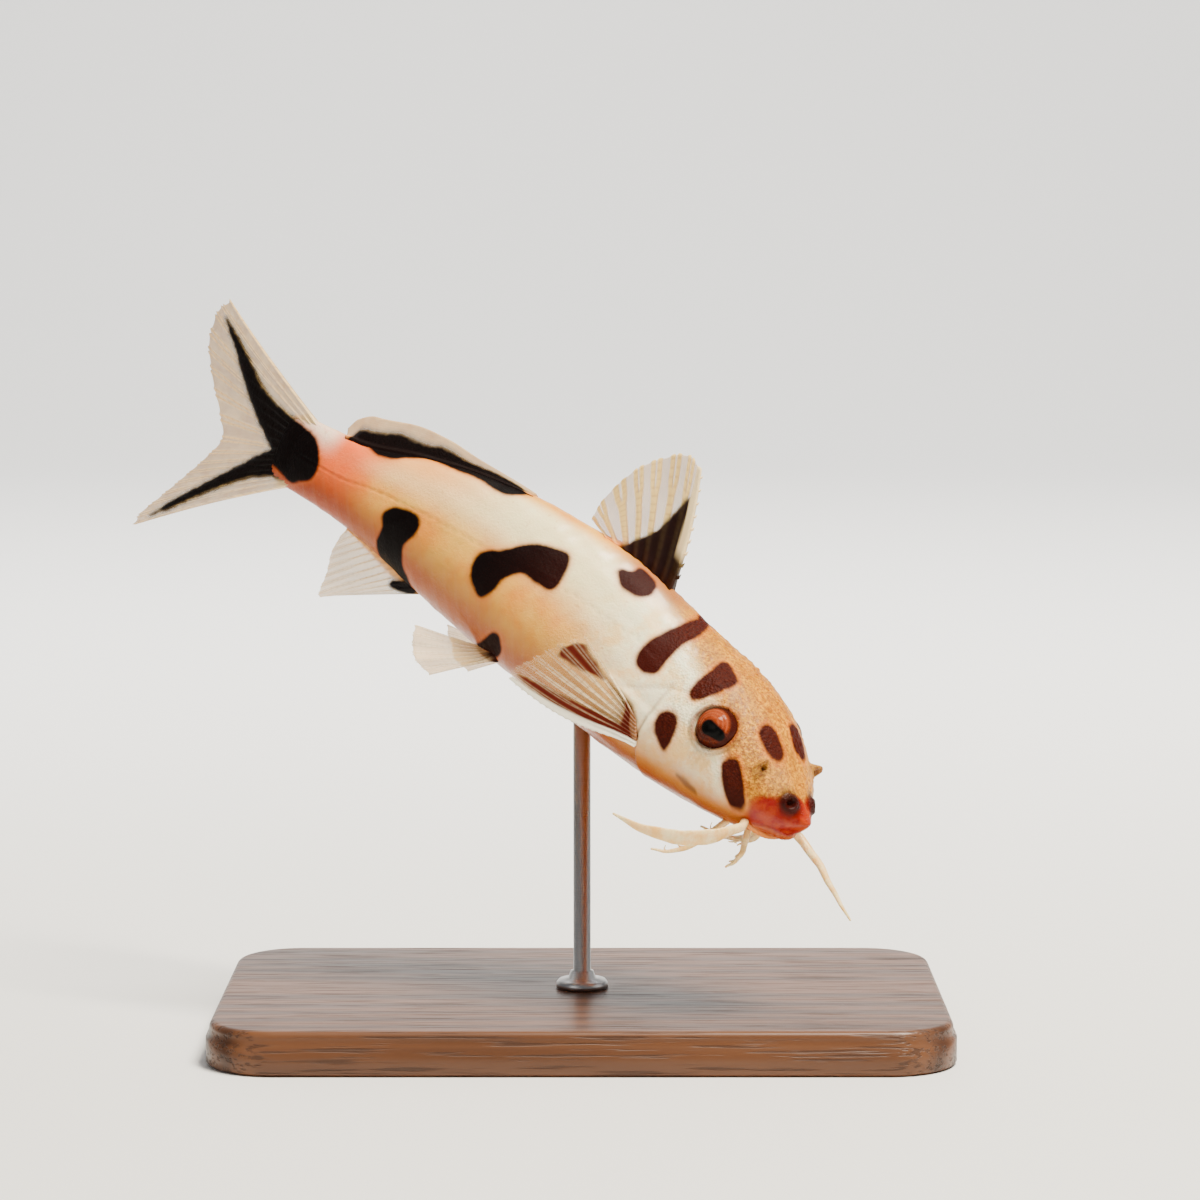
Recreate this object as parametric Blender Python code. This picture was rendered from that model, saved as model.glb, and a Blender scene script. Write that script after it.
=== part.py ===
"""A small spotted African catfish, Synodontis polli, held diving in a gentle bend on a display stand.

Body places are (back, left, up), as fractions of the standard length: back runs from the snout along
the spine, left and up are across it. place() bends them along the spine and puts them in the world.
The world is in metres, with +Z up, and its origin is the centre of the stand's underside.
"""
import math

import bmesh
import bpy
import numpy as np

# Driving sizes, in metres
LENGTH = 0.080
GAP = 0.0003
EYE_RADIUS = 0.0026
STAND_BASE = (0.084, 0.050, 0.005)
STAND_CORNER = 0.008
ROD_RADIUS = 0.001

# Pose: degrees, with the point of the spine that stands over the rod, and its height
HEADING = -46.0
DIVE = 28.1
ROLL = -12.5
HELD_AT = 0.46
HELD_HEIGHT = 0.0465
# Bend of the spine at stations along the body, in degrees for each length of body
SIDE_BEND = ((0.0, 0), (0.22, 68.4), (0.40, 33), (0.60, -2), (0.80, -37), (1.0, -57), (1.3, -56))
UP_BEND = ((0.0, 0), (0.22, 9), (0.40, -1), (0.60, -20), (0.80, -28), (1.0, -21), (1.3, -9))
TWIST = ((0.0, 0), (0.22, -10), (0.40, -7.7), (0.60, -5.5), (0.80, -2.8), (1.0, -1), (1.3, 0))

# Outlines of the body, as (back, size)
BACK = ((-0.006, -0.002), (0.02, 0.012), (0.05, 0.036), (0.10, 0.072), (0.155, 0.098), (0.22, 0.113),
        (0.30, 0.121), (0.385, 0.132), (0.45, 0.137), (0.60, 0.128), (0.70, 0.113), (0.80, 0.088),
        (0.90, 0.062), (1.0, 0.058))
BELLY = ((-0.006, -0.024), (0.02, -0.045), (0.05, -0.062), (0.10, -0.077), (0.22, -0.097),
         (0.34, -0.107), (0.50, -0.110), (0.60, -0.104), (0.70, -0.091), (0.80, -0.072), (0.90, -0.057),
         (1.0, -0.050))
HALF_WIDTH = ((-0.006, 0.016), (0.02, 0.032), (0.05, 0.062), (0.10, 0.090), (0.155, 0.101),
              (0.22, 0.108), (0.30, 0.109), (0.385, 0.101), (0.52, 0.086), (0.60, 0.074),
              (0.70, 0.057), (0.80, 0.041), (0.90, 0.028), (0.97, 0.020), (1.0, 0.013))
WIDEST = ((-0.006, -0.008), (0.05, -0.018), (0.10, -0.023), (0.25, -0.020), (0.45, -0.012),
          (0.70, 0.0), (1.0, 0.002))
ROOF = ((0.0, 2.2), (0.15, 2.3), (0.27, 1.85), (0.38, 1.65), (0.55, 1.8), (0.75, 2.0), (1.0, 2.0))
FLOOR = ((0.0, 2.1), (0.15, 2.5), (0.45, 2.3), (0.70, 2.0), (1.0, 2.0))
SNOUT_TIP = -0.006
SNOUT_ROUND = 0.030

# Where the body is parted, and how finely its skin is drawn
NECK = 0.250
VENT = 0.690
TAIL_ROOT = 1.0
ROUND = 36

# Places on the head: (back, up) of the eye, (back, turn) of the two pairs of nostrils
EYE = (0.156, 0.040)
EYE_DEPTH = 0.0011
EYE_RIM = 0.00035
REAR_NOSTRIL = (0.071, 47)
FRONT_NOSTRIL = (0.023, 45)
# Mouth: half width, and the places where the lips' middles and corners lie
MOUTH_HALF_WIDTH = 0.045
UPPER_LIP = (0.019, 0.044)
LOWER_LIP = (0.040, 0.050)
LIP_RADIUS = 0.0009
LIP_SINK = 0.0065
# Bends of the two fin spines, in lengths of body
DORSAL_BOW = (-0.006, 0, 0)
PECTORAL_BOW = (0, 0, -0.013)
# Gill cover: how far its edge stands out, and where it ends
COVER_RISE = 0.0005
COVER_EDGE = 0.236

FLESH = (0.86, 0.60, 0.42)
DARK = (0.10, 0.035, 0.025)
FIN = (0.88, 0.78, 0.60)
PALE = (0.90, 0.84, 0.70)
IRIS = (0.16, 0.05, 0.03)
BOARD = (0.20, 0.19, 0.18)
STEEL = (0.62, 0.62, 0.62)


def curve(points, x):
    """Smooth curve through points of (place, size), which never overshoots them, read at x."""
    xs, ys = np.array(points, float).T
    x = np.asarray(x, float)
    step = np.diff(xs)
    rise = np.diff(ys) / step
    same = rise[1:] * rise[:-1] > 0
    total = np.where(same, rise[1:] + rise[:-1], 1.0)
    middle = np.where(same, 2 * rise[1:] * rise[:-1] / total, 0.0)
    slope = np.concatenate([[rise[0]], middle, [rise[-1]]])
    i = np.clip(np.searchsorted(xs, x) - 1, 0, len(step) - 1)
    t = (x - xs[i]) / step[i]
    return (ys[i] * (1 + 2 * t) * (1 - t) ** 2 + slope[i] * step[i] * t * (1 - t) ** 2
            + ys[i + 1] * t * t * (3 - 2 * t) + slope[i + 1] * step[i] * t * t * (t - 1))


def spine_frames():
    """Places along the spine, and its forward, left and up directions there, by summing the bend."""
    s = np.linspace(-0.2, 1.4, 641)
    ds = s[1] - s[0]

    def total(rates):
        rate = np.radians(np.interp(s, *zip(*rates), left=0))
        turned = np.concatenate([[0], np.cumsum((rate[1:] + rate[:-1]) / 2 * ds)])
        return turned - np.interp(0, s, turned)

    yaw, pitch, twist = total(SIDE_BEND), total(UP_BEND), total(TWIST)[:, None]
    forward = np.stack([np.cos(yaw) * np.cos(pitch), np.sin(yaw) * np.cos(pitch), -np.sin(pitch)], 1)
    level = np.stack([-np.sin(yaw), np.cos(yaw), 0 * yaw], 1)
    left = level * np.cos(twist) + np.cross(forward, level) * np.sin(twist)
    up = np.cross(forward, left)
    middle = np.concatenate([np.zeros((1, 3)), np.cumsum((forward[1:] + forward[:-1]) / 2 * ds, 0)])
    start = np.array([np.interp(0, s, middle[:, k]) for k in range(3)])
    return s, start - middle, left, up


def head_axes():
    """The head's forward, left and up directions in the world, as columns."""
    turn, dive, roll = math.radians(HEADING), math.radians(DIVE), math.radians(ROLL)
    forward = np.array([math.cos(turn) * math.cos(dive), math.sin(turn) * math.cos(dive),
                        -math.sin(dive)])
    level = np.array([-math.sin(turn), math.cos(turn), 0])
    square = np.cross(forward, level)
    left = math.cos(roll) * level + math.sin(roll) * square
    return np.stack([forward, left, np.cross(forward, left)], 1)


STATIONS, MIDDLE, LEFT, UP = spine_frames()
AXES = head_axes()


def place(points):
    """World places, in metres, of body places (back, left, up)."""
    points = np.asarray(points, float)
    back = points[..., 0]

    def read(table):
        return np.stack([np.interp(back, STATIONS, table[:, k]) for k in range(3)], -1)

    bent = read(MIDDLE) + read(LEFT) * points[..., 1:2] + read(UP) * points[..., 2:3]
    return bent @ AXES.T * LENGTH + SHIFT


SHIFT = np.zeros(3)
HELD = place((HELD_AT, 0, 0))
SHIFT = np.array([-HELD[0], -HELD[1], HELD_HEIGHT - HELD[2]])


def section(back):
    """Top, bottom, half width and height of the widest place of the body's section, at stations."""
    near = np.clip((back - SNOUT_TIP) / SNOUT_ROUND, 0, 1)
    full = np.sqrt(1 - (1 - near) ** 2)
    widest = curve(WIDEST, back)
    top = widest + (curve(BACK, back) - widest) * full
    bottom = widest + (curve(BELLY, back) - widest) * full
    return top, bottom, curve(HALF_WIDTH, back) * full, widest


def skin(back, turn, lift=0.0):
    """Body places on the skin: turn runs from the back (0) round the left side to the belly (pi).

    Each section is two half superellipses, |y/w|^n + |z/h|^n = 1, that meet at the widest place.
    Lift is a distance out of the skin, in metres."""
    back, turn = np.broadcast_arrays(np.asarray(back, float), np.asarray(turn, float))
    top, bottom, width, widest = section(back)
    cos, sin = np.cos(turn), np.sin(turn)
    power = np.where(cos > 0, curve(ROOF, back), curve(FLOOR, back))
    tall = np.where(cos > 0, top - widest, widest - bottom)
    out = lift / LENGTH
    side = np.sign(sin) * np.abs(sin) ** (2 / power) * width
    height = np.sign(cos) * np.abs(cos) ** (2 / power) * tall
    lean_y = np.sign(side) * np.abs(side / width) ** (power - 1) / width
    lean_z = np.sign(height) * np.abs(height / tall) ** (power - 1) / tall
    size = np.hypot(lean_y, lean_z) + 1e-9
    return np.stack([back, side + out * lean_y / size, widest + height + out * lean_z / size], -1)


def top_at(back):
    return section(np.asarray(back, float))[0]


def belly_at(back, left=0.0):
    """Height of the belly at a distance to the left of its middle line."""
    bottom, width, widest = section(np.asarray(back, float))[1:]
    power = curve(FLOOR, back)
    return widest - (widest - bottom) * (1 - np.abs(left / width) ** power) ** (1 / power)


def flank_at(back, up):
    """Distance of the flank from the middle plane, at a height."""
    top, bottom, width, widest = section(np.asarray(back, float))
    power = np.where(up > widest, curve(ROOF, back), curve(FLOOR, back))
    tall = np.where(up > widest, top - widest, widest - bottom)
    return width * (1 - np.abs((up - widest) / tall) ** power) ** (1 / power)


def new_object(name, points, faces, colour=FLESH, rough=0.45, metal=0.0):
    """One object from world points and faces, with its faces pointing out and a material of its own."""
    mesh = bpy.data.meshes.new(name)
    mesh.from_pydata([tuple(p) for p in points], [], faces)
    form = bmesh.new()
    form.from_mesh(mesh)
    bmesh.ops.recalc_face_normals(form, faces=form.faces)
    if form.calc_volume(signed=True) < 0:
        bmesh.ops.reverse_faces(form, faces=form.faces)
    form.to_mesh(mesh)
    form.free()
    mesh.shade_smooth()
    mesh.set_sharp_from_angle(angle=math.radians(50))
    thing = bpy.data.objects.new(name, mesh)
    bpy.context.scene.collection.objects.link(thing)
    finish = bpy.data.materials.new(name)
    finish.use_nodes = True
    shader = finish.node_tree.nodes["Principled BSDF"]
    shader.inputs["Base Color"].default_value = (*colour, 1)
    shader.inputs["Roughness"].default_value = rough
    shader.inputs["Metallic"].default_value = metal
    mesh.materials.append(finish)
    return thing


def keep_largest(mesh):
    """Keeps the largest closed surface of a mesh."""
    form = bmesh.new()
    form.from_mesh(mesh)
    left = set(form.faces)
    shells = []
    while left:
        shell, edge = set(), {left.pop()}
        while edge:
            face = edge.pop()
            shell.add(face)
            near = {other for line in face.edges for other in line.link_faces} & left
            left -= near
            edge |= near
        shells.append(shell)
    shells.sort(key=lambda shell: sum(face.calc_area() for face in shell))
    spare = [face for shell in shells[:-1] for face in shell]
    bmesh.ops.delete(form, geom=spare, context="FACES")
    form.to_mesh(mesh)
    form.free()


def combine(thing, others, operation, keep=False):
    """Joins closed meshes to an object, or cuts them from it, and removes them unless they are kept."""
    group = bpy.data.collections.new("others")
    bpy.context.scene.collection.children.link(group)
    for other in others:
        group.objects.link(other)
    change = thing.modifiers.new("combine", "BOOLEAN")
    change.operand_type = "COLLECTION"
    change.collection = group
    change.operation = operation
    old = thing.data
    for solver in ("EXACT", "MANIFOLD"):
        change.solver = solver
        graph = bpy.context.evaluated_depsgraph_get()
        graph.update()
        result = bpy.data.meshes.new_from_object(thing.evaluated_get(graph))
        if result.polygons:
            break
    thing.data = result
    thing.modifiers.clear()
    bpy.data.meshes.remove(old)
    keep_largest(thing.data)
    bpy.data.collections.remove(group)
    if not keep:
        for other in others:
            bpy.data.objects.remove(other)
    return thing


def lofted(name, rings, **look):
    """A closed skin over rings of world points, closed at each end by its last ring or a single point."""
    points, faces, rows = [], [], []
    for ring in rings:
        rows.append(range(len(points), len(points) + len(ring)))
        points.extend(ring)
    for low, high in zip(rows, rows[1:]):
        count = max(len(low), len(high))
        for k in range(count):
            near = k + 1 if k + 1 < count else 0
            if len(low) == 1:
                faces.append((low[0], high[near], high[k]))
            elif len(high) == 1:
                faces.append((low[k], low[near], high[0]))
            else:
                faces.append((low[k], low[near], high[near]))
                faces.append((low[k], high[near], high[k]))
    for row in (rows[0], rows[-1]):
        if len(row) > 1:
            faces.append(tuple(row))
    return new_object(name, points, faces, **look)


def gill_cover(back, turn):
    """How far the gill cover lifts the skin: it swells towards its edge and drops behind it."""
    swell = np.clip((back - 0.16) / (COVER_EDGE - 0.16), 0, 1) ** 2
    low = np.abs(np.angle(np.exp(1j * (np.abs(np.angle(np.exp(1j * turn))) - 1.95)))) / 0.85
    return COVER_RISE * swell * (back <= COVER_EDGE) * np.clip(1 - low ** 2, 0, 1)


def body_rings(stations, lift=0.0):
    turn = np.arange(ROUND) / ROUND * 2 * math.pi
    return [place(skin(s, turn, lift + gill_cover(s, turn))) for s in stations]


def head_stations():
    """Stations that are closer together where the snout rounds off and at the gill cover's edge."""
    round_off = SNOUT_TIP + SNOUT_ROUND * (1 - np.cos(np.linspace(0, math.pi / 2, 6)[1:]))
    return np.concatenate([round_off, np.linspace(0.036, COVER_EDGE, 14), [COVER_EDGE + 0.004, NECK]])


def body():
    """The head, trunk and tail stem, parted by thin cuts across the spine. Gives the first two."""
    half = GAP / LENGTH / 2
    nose = [place((SNOUT_TIP, 0, WIDEST[0][1]))[None]]
    front = head_stations()
    front[-1] = NECK - half
    head = lofted("head", nose + body_rings(front), rough=0.5)
    trunk = lofted("trunk", body_rings(np.linspace(NECK + half, VENT - half, 14)), rough=0.4)
    lofted("tail_stem", body_rings(np.linspace(VENT + half, TAIL_ROOT, 11)), rough=0.4)
    return head, trunk


def clearance():
    """The whole body, thicker by the gap, which cuts the roots of all that grows from it."""
    nose = [place((SNOUT_TIP - GAP / LENGTH, 0, WIDEST[0][1]))[None]]
    stations = np.concatenate([head_stations()[:-1], np.linspace(NECK, VENT, 14)[:-1],
                               np.linspace(VENT, TAIL_ROOT, 11)])
    last = body_rings([TAIL_ROOT], GAP)[0]
    shove = place((TAIL_ROOT + GAP / LENGTH, 0, 0)) - place((TAIL_ROOT, 0, 0))
    form = lofted("clearance", nose + body_rings(stations, GAP) + [last + shove])
    form.hide_render = True
    form.display_type = "WIRE"
    return form


def fin(name, roots, tips, rays, rows, thick, ray_height, lead=0.0, sink=0.10, bow=(0, 0, 0),
        colour=FIN):
    """A fin as one thin closed sheet, whose two faces rise and fall together to draw its rays.

    Roots and tips are functions of a number from 0 at the front ray to 1 at the last. A point of the
    middle surface is root + (tip - root) * v, bent by bow * sin(pi * v), most at the front ray. Its
    columns are the rays, with a valley between each two. Thick is (at the root, at the tips), in metres."""
    across = np.linspace(0, 1, 2 * rays - 1)
    along = np.linspace(-sink, 1, rows + 1)
    root, tip = roots(across), tips(across)
    arch = np.sin(np.pi * np.clip(along, 0, 1))[:, None] * (1 - across) ** 2
    middle = place(root[None] + (tip - root)[None] * along[:, None, None] + arch[..., None] * bow)
    fade = np.clip(along, 0, 1)[:, None]
    ridge = (np.arange(len(across)) % 2 == 0)[None] * ray_height
    depth = thick[0] + (thick[1] - thick[0]) * fade + ridge * (1 - 0.75 * fade)
    depth = depth + lead * (1 - 0.6 * fade) * (np.arange(len(across)) == 0)[None]
    return sheet(name, middle, depth, colour)


def sheet(name, middle, depth, colour):
    """A closed thin solid on a grid of world points, with both faces split into triangles alike."""
    facing = np.cross(np.gradient(middle, axis=0), np.gradient(middle, axis=1))
    facing /= np.linalg.norm(facing, axis=-1, keepdims=True)
    rows, columns = depth.shape
    one = (middle + facing * depth[..., None] / 2).reshape(-1, 3)
    two = (middle - facing * depth[..., None] / 2).reshape(-1, 3)
    size = rows * columns
    faces = []
    for i in range(rows - 1):
        for j in range(columns - 1):
            a, b = i * columns + j, i * columns + j + 1
            c, d = b + columns, a + columns
            faces += [(a, b, c), (a, c, d), (size + a, size + c, size + b), (size + a, size + d, size + c)]
    edge = ([j for j in range(columns)] + [i * columns + columns - 1 for i in range(1, rows)]
            + [(rows - 1) * columns + j for j in range(columns - 2, -1, -1)]
            + [i * columns for i in range(rows - 2, 0, -1)])
    for a, b in zip(edge, edge[1:] + edge[:1]):
        faces += [(a, size + a, size + b), (a, size + b, b)]
    return new_object(name, np.concatenate([one, two]), faces, colour, 0.4)


def between(points, x):
    """Places on a smooth curve through points of (number, back, left, up), read at x."""
    table = np.array(points)
    return np.stack([curve(table[:, (0, k)], x) for k in (1, 2, 3)], -1)


def dorsal_fin():
    """The tall front fin: a spine and seven soft rays, swept back."""
    def roots(u):
        back = 0.379 + 0.126 * u
        return np.stack([back, 0 * u, top_at(back)], -1)

    def tips(u):
        return between(((0, 0.438, 0, 0.297), (0.16, 0.462, 0, 0.304), (0.45, 0.504, 0, 0.267),
                        (0.65, 0.523, 0, 0.230), (0.85, 0.538, 0, 0.170), (1, 0.537, 0, 0.143)), u)

    fan = fin("dorsal_fin", roots, tips, 8, 7, (0.0007, 0.0004), 0.0004, lead=0.0005, bow=DORSAL_BOW)
    return combine(fan, spine_teeth(roots(0.0), tips(0.0), DORSAL_BOW, (-1, 0, 0.4), 8), "UNION")


def adipose_fin():
    """The long, low, fleshy fin without rays."""
    def roots(u):
        back = 0.624 + 0.302 * u
        return np.stack([back, 0 * u, top_at(back)], -1)

    def tips(u):
        back = 0.624 + 0.302 * u + 0.006 * u
        height = curve(((0, 0.003), (0.3, 0.017), (0.52, 0.036), (0.72, 0.045), (0.88, 0.043),
                        (0.97, 0.028), (1, 0.010)), u)
        return np.stack([back, 0 * u, top_at(back) + height], -1)

    return fin("adipose_fin", roots, tips, 10, 3, (0.0012, 0.0004), 0.0, sink=0.4, colour=DARK)


def caudal_fin():
    """The forked tail fin, with seventeen main rays."""
    def roots(u):
        return np.stack([0.998 - 0.014 * (2 * u - 1) ** 2, 0 * u, 0.055 - 0.100 * u], -1)

    def tips(u):
        return between(((0, 1.262, 0, 0.168), (0.12, 1.284, 0, 0.142), (0.2, 1.277, 0, 0.105),
                        (0.32, 1.238, 0, 0.056), (0.44, 1.172, 0, -0.003), (0.5, 1.150, 0, -0.030),
                        (0.6, 1.168, 0, -0.070), (0.72, 1.198, 0, -0.110), (0.85, 1.236, 0, -0.158),
                        (0.94, 1.262, 0, -0.194), (1, 1.264, 0, -0.210)), u)

    return fin("caudal_fin", roots, tips, 17, 6, (0.0013, 0.0004), 0.0003, sink=0.06)


def anal_fin():
    """The fin under the tail stem, with twelve rays."""
    def roots(u):
        back = 0.706 + 0.155 * u
        return np.stack([back, 0 * u, belly_at(back)], -1)

    def tips(u):
        return between(((0, 0.800, 0, -0.141), (0.15, 0.838, 0, -0.161), (0.3, 0.858, 0, -0.172),
                        (0.55, 0.866, 0, -0.140), (0.8, 0.871, 0, -0.103), (1, 0.868, 0, -0.077)), u)

    return fin("anal_fin", roots, tips, 12, 5, (0.0007, 0.0004), 0.0003, sink=0.15)


def pelvic_fin(name, side):
    """One of the pair under the belly, with seven rays."""
    def roots(u):
        back, left = 0.535 + 0.032 * u, 0.048 - 0.018 * u
        return np.stack([back, side * left, belly_at(back, left)], -1)

    def tips(u):
        return between(((0, 0.604, side * 0.072, -0.166), (0.35, 0.634, side * 0.074, -0.160),
                        (0.7, 0.657, side * 0.068, -0.140), (1, 0.668, side * 0.060, -0.119)), u)

    return fin(name, roots, tips, 7, 5, (0.0007, 0.0004), 0.0003, sink=0.2)


def pectoral_fin(name, side):
    """One of the pair behind the gills: a stout spine and eight rays, laid back along the flank."""
    def roots(u):
        back, up = 0.263 + 0.018 * u, -0.050 + 0.036 * u
        return np.stack([back, side * (flank_at(back, up) + 0.004), up], -1)

    def tips(u):
        return between(((0, 0.470, side * 0.139, -0.082), (0.15, 0.474, side * 0.141, -0.070),
                        (0.45, 0.459, side * 0.138, -0.040), (0.75, 0.434, side * 0.137, 0.002),
                        (1, 0.405, side * 0.133, 0.036)), u)

    fan = fin(name, roots, tips, 9, 6, (0.0008, 0.0004), 0.0003, lead=0.0006, bow=PECTORAL_BOW)
    return combine(fan, spine_teeth(roots(0.0), tips(0.0), PECTORAL_BOW, (0, side * 0.4, -1), 10), "UNION")


def spine_teeth(root, tip, bow, outward, count):
    """Small slanting teeth along the front edge of a fin's spine, smaller towards its tip."""
    outward = np.array(outward) / np.linalg.norm(outward)
    teeth = []
    for k in range(count):
        v = 0.12 + 0.80 * k / (count - 1)
        foot = root + (tip - root) * v + np.array(bow) * math.sin(math.pi * v)
        size = 0.008 * (1 - 0.5 * v)
        ahead = (tip - root) / np.linalg.norm(tip - root)
        path = np.array([foot - outward * 0.003, foot + outward * size + ahead * size * 0.9])
        teeth.append(tube("tooth", path, np.array([0.00042, 0.00008]), sides=4))
    return teeth


def tube(name, path, radius, sides=8, tall=None, colour=PALE):
    """A tapered rod through body places, with a radius in metres at each, and half its height if it
    is tall."""
    tall = radius if tall is None else tall
    middle = place(path)
    ahead = np.gradient(middle, axis=0)
    ahead /= np.linalg.norm(ahead, axis=1, keepdims=True)
    level = AXES[:, 2] if abs(ahead[0] @ AXES[:, 2]) < 0.9 else AXES[:, 0]
    upward = level - ahead * (ahead @ level)[:, None]
    upward /= np.linalg.norm(upward, axis=1, keepdims=True)
    across = np.cross(ahead, upward)
    turn = np.arange(sides) / sides * 2 * math.pi
    points = (middle[:, None] + across[:, None] * np.cos(turn)[None, :, None] * radius[:, None, None]
              + upward[:, None] * np.sin(turn)[None, :, None] * tall[:, None, None])
    return lofted(name, list(points), colour=colour, rough=0.4)


def barbel(name, stops, radius, rings, tall=None, branches=()):
    """A feeler through stops given as (back, left, up) in millimetres, with radius as (number, metres).

    Tall is half its height in the same way, where it is a blade.

    Branches are (number along the feeler, back, left, up in millimetres from there)."""
    stops = np.array(stops) / 1000 / LENGTH
    table = np.column_stack([np.linspace(0, 1, len(stops)), stops])
    t = np.linspace(0, 1, rings)
    stem = tube(name, between(table, t), curve(radius, t), tall=curve(tall or radius, t))
    twigs = []
    for at, *reach in branches:
        foot = between(table, np.array([at]))[0]
        thick = curve(radius, at)
        path = foot + np.array([[0, 0, 0], reach]) / 1000 / LENGTH
        bend = np.array([path[0], (path[0] + path[1]) / 2 + (0.003, 0, -0.003), path[1]])
        twigs.append(tube("twig", bend, thick * np.array([0.75, 0.6, 0.35]), sides=5))
    return combine(stem, twigs, "UNION") if twigs else stem


def barbels():
    """The six feelers of the mouth: a long pair at its corners and two branched pairs on the chin."""
    blade = ((0, 0.00050), (0.5, 0.00040), (1, 0.0002))
    blade_tall = ((0, 0.00050), (0.20, 0.00062), (0.45, 0.00100), (0.65, 0.00085), (0.88, 0.00040),
                  (1, 0.0002))
    long_taper = ((0, 0.00060), (0.5, 0.00045), (1, 0.0002))
    short_taper = ((0, 0.00045), (0.6, 0.0003), (1, 0.00018))
    return [
        barbel("maxillary_barbel_right", (
            (5.2, -3.2, -3.6), (3.4, -6.0, -4.2), (3.4, -8.5, -5.2), (4.2, -10.8, -6.4),
            (5.9, -13.1, -7.5), (8.8, -15.1, -8.4), (12.3, -16.7, -8.8)), blade, 14, blade_tall),
        barbel("maxillary_barbel_left", (
            (5.2, 3.2, -3.6), (2.6, 5.0, -4.4), (-1.4, 4.5, -5.0), (-6.0, 2.8, -5.7),
            (-11.0, 0.6, -6.0)), long_taper, 12),
        barbel("outer_mandibular_barbel_right", (
            (7.0, -2.6, -4.6), (6.7, -4.3, -5.8), (6.9, -5.5, -7.5), (7.5, -6.8, -9.6),
            (8.6, -8.1, -11.0), (10.0, -9.4, -11.7)), short_taper, 11,
            branches=((0.45, 2.2, -0.3, -0.6), (0.62, 2.2, -0.3, -0.2), (0.8, 1.6, -0.2, 0.5))),
        barbel("outer_mandibular_barbel_left", (
            (7.0, 2.6, -4.6), (7.6, 3.3, -7.0), (9.2, 4.2, -8.9), (11.8, 5.0, -10.3),
            (14.6, 5.4, -11.2)), short_taper, 11,
            branches=((0.45, 1.0, 1.4, -1.4), (0.62, 1.6, 1.2, -0.9), (0.8, 1.6, 0.8, 0.4))),
        barbel("inner_mandibular_barbel_right", (
            (5.6, -1.4, -4.4), (4.4, -2.2, -6.0), (3.5, -2.8, -7.4), (3.4, -3.2, -8.4),
            (3.7, -3.9, -9.5)), short_taper, 9,
            branches=((0.5, 0.9, 0.8, -1.4), (0.72, 1.2, 0.4, -0.9))),
        barbel("inner_mandibular_barbel_left", (
            (5.6, 1.4, -4.4), (5.9, 1.8, -6.4), (7.2, 2.2, -7.9), (9.2, 2.4, -8.8)), short_taper, 9,
            branches=((0.5, 0.6, -0.9, -1.3), (0.72, 1.2, -0.5, -1.0))),
    ]


def lips():
    """Two full crescents under the snout, whose touching edges are the line of the mouth."""
    across = np.linspace(-1, 1, 11)
    made = []
    for name, (middle, corner) in (("upper_lip", UPPER_LIP), ("lower_lip", LOWER_LIP)):
        back = middle + (corner - middle) * across ** 2
        left = MOUTH_HALF_WIDTH * across
        path = np.stack([back, left, belly_at(back, left) + LIP_SINK], -1)
        made.append(tube(name, path, LIP_RADIUS * (1 - 0.45 * across ** 2), sides=8))
    return made


def nostrils():
    """Four short tubes for the nostrils, and the narrow pits that open them."""
    rims, pits = [], []
    for back, turn in (REAR_NOSTRIL, FRONT_NOSTRIL):
        for side in (-1, 1):
            angle = side * math.radians(turn)
            rim = np.array([skin(back, angle, lift) for lift in (-0.0006, 0.0005)])
            pit = np.array([skin(back, angle, lift) for lift in (-0.0004, 0.0009)])
            rims.append(tube("nostril", rim, np.array([0.00075, 0.00055])))
            pits.append(tube("pit", pit, np.array([0.0003, 0.00032]), sides=6))
    return rims, pits


def shoulder_spikes():
    """The pointed bony plate that lies behind each gill opening, above the front paired fin."""
    made = []
    for side in (-1, 1):
        back = np.linspace(0.262, 0.350, 5)
        up = np.linspace(0.002, 0.010, 5)
        path = np.stack([back, side * (flank_at(back, up) - 0.001), up], -1)
        made.append(tube("plate", path, np.linspace(0.00045, 0.0001, 5), sides=6,
                         tall=np.linspace(0.0013, 0.0002, 5)))
    return made


def eyes(head):
    """Both eyeballs, each in a rimmed socket cut into the head with the gap round it."""
    sockets, rims = [], []
    for name, side in (("eye_right", -1), ("eye_left", 1)):
        back, up = EYE
        out = flank_at(back, up)
        centre = place((back, side * out, up))
        inward = place((back, side * (out - 0.02), up - 0.006)) - centre
        inward /= np.linalg.norm(inward)
        rims.append(ring("rim", centre + inward * 0.0001, inward, EYE_RADIUS - 0.0001, EYE_RIM))
        centre = centre + inward * EYE_DEPTH
        for label, radius in ((name, EYE_RADIUS), ("socket", EYE_RADIUS + GAP)):
            form = bmesh.new()
            bmesh.ops.create_uvsphere(form, u_segments=16, v_segments=12, radius=radius)
            points = [np.array(v.co) + centre for v in form.verts]
            faces = [tuple(v.index for v in face.verts) for face in form.faces]
            form.free()
            ball = new_object(label, points, faces, IRIS, 0.1)
            if label == "socket":
                sockets.append(ball)
    combine(head, rims, "UNION")
    combine(head, sockets, "DIFFERENCE")


def ring(name, centre, axis, radius, thick):
    """A round ring of a round section about an axis through a world place."""
    across = np.cross(axis, AXES[:, 0])
    across /= np.linalg.norm(across)
    other = np.cross(axis, across)
    count, sides = 18, 6
    points, faces = [], []
    for i in range(count):
        turn = i / count * 2 * math.pi
        spoke = across * math.cos(turn) + other * math.sin(turn)
        for j in range(sides):
            tilt = j / sides * 2 * math.pi
            points.append(centre + spoke * (radius + thick * math.cos(tilt)) + axis * thick * math.sin(tilt))
            near, along = (j + 1) % sides, (i + 1) % count
            faces.append((i * sides + j, i * sides + near, along * sides + near, along * sides + j))
    return new_object(name, points, faces)


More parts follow.
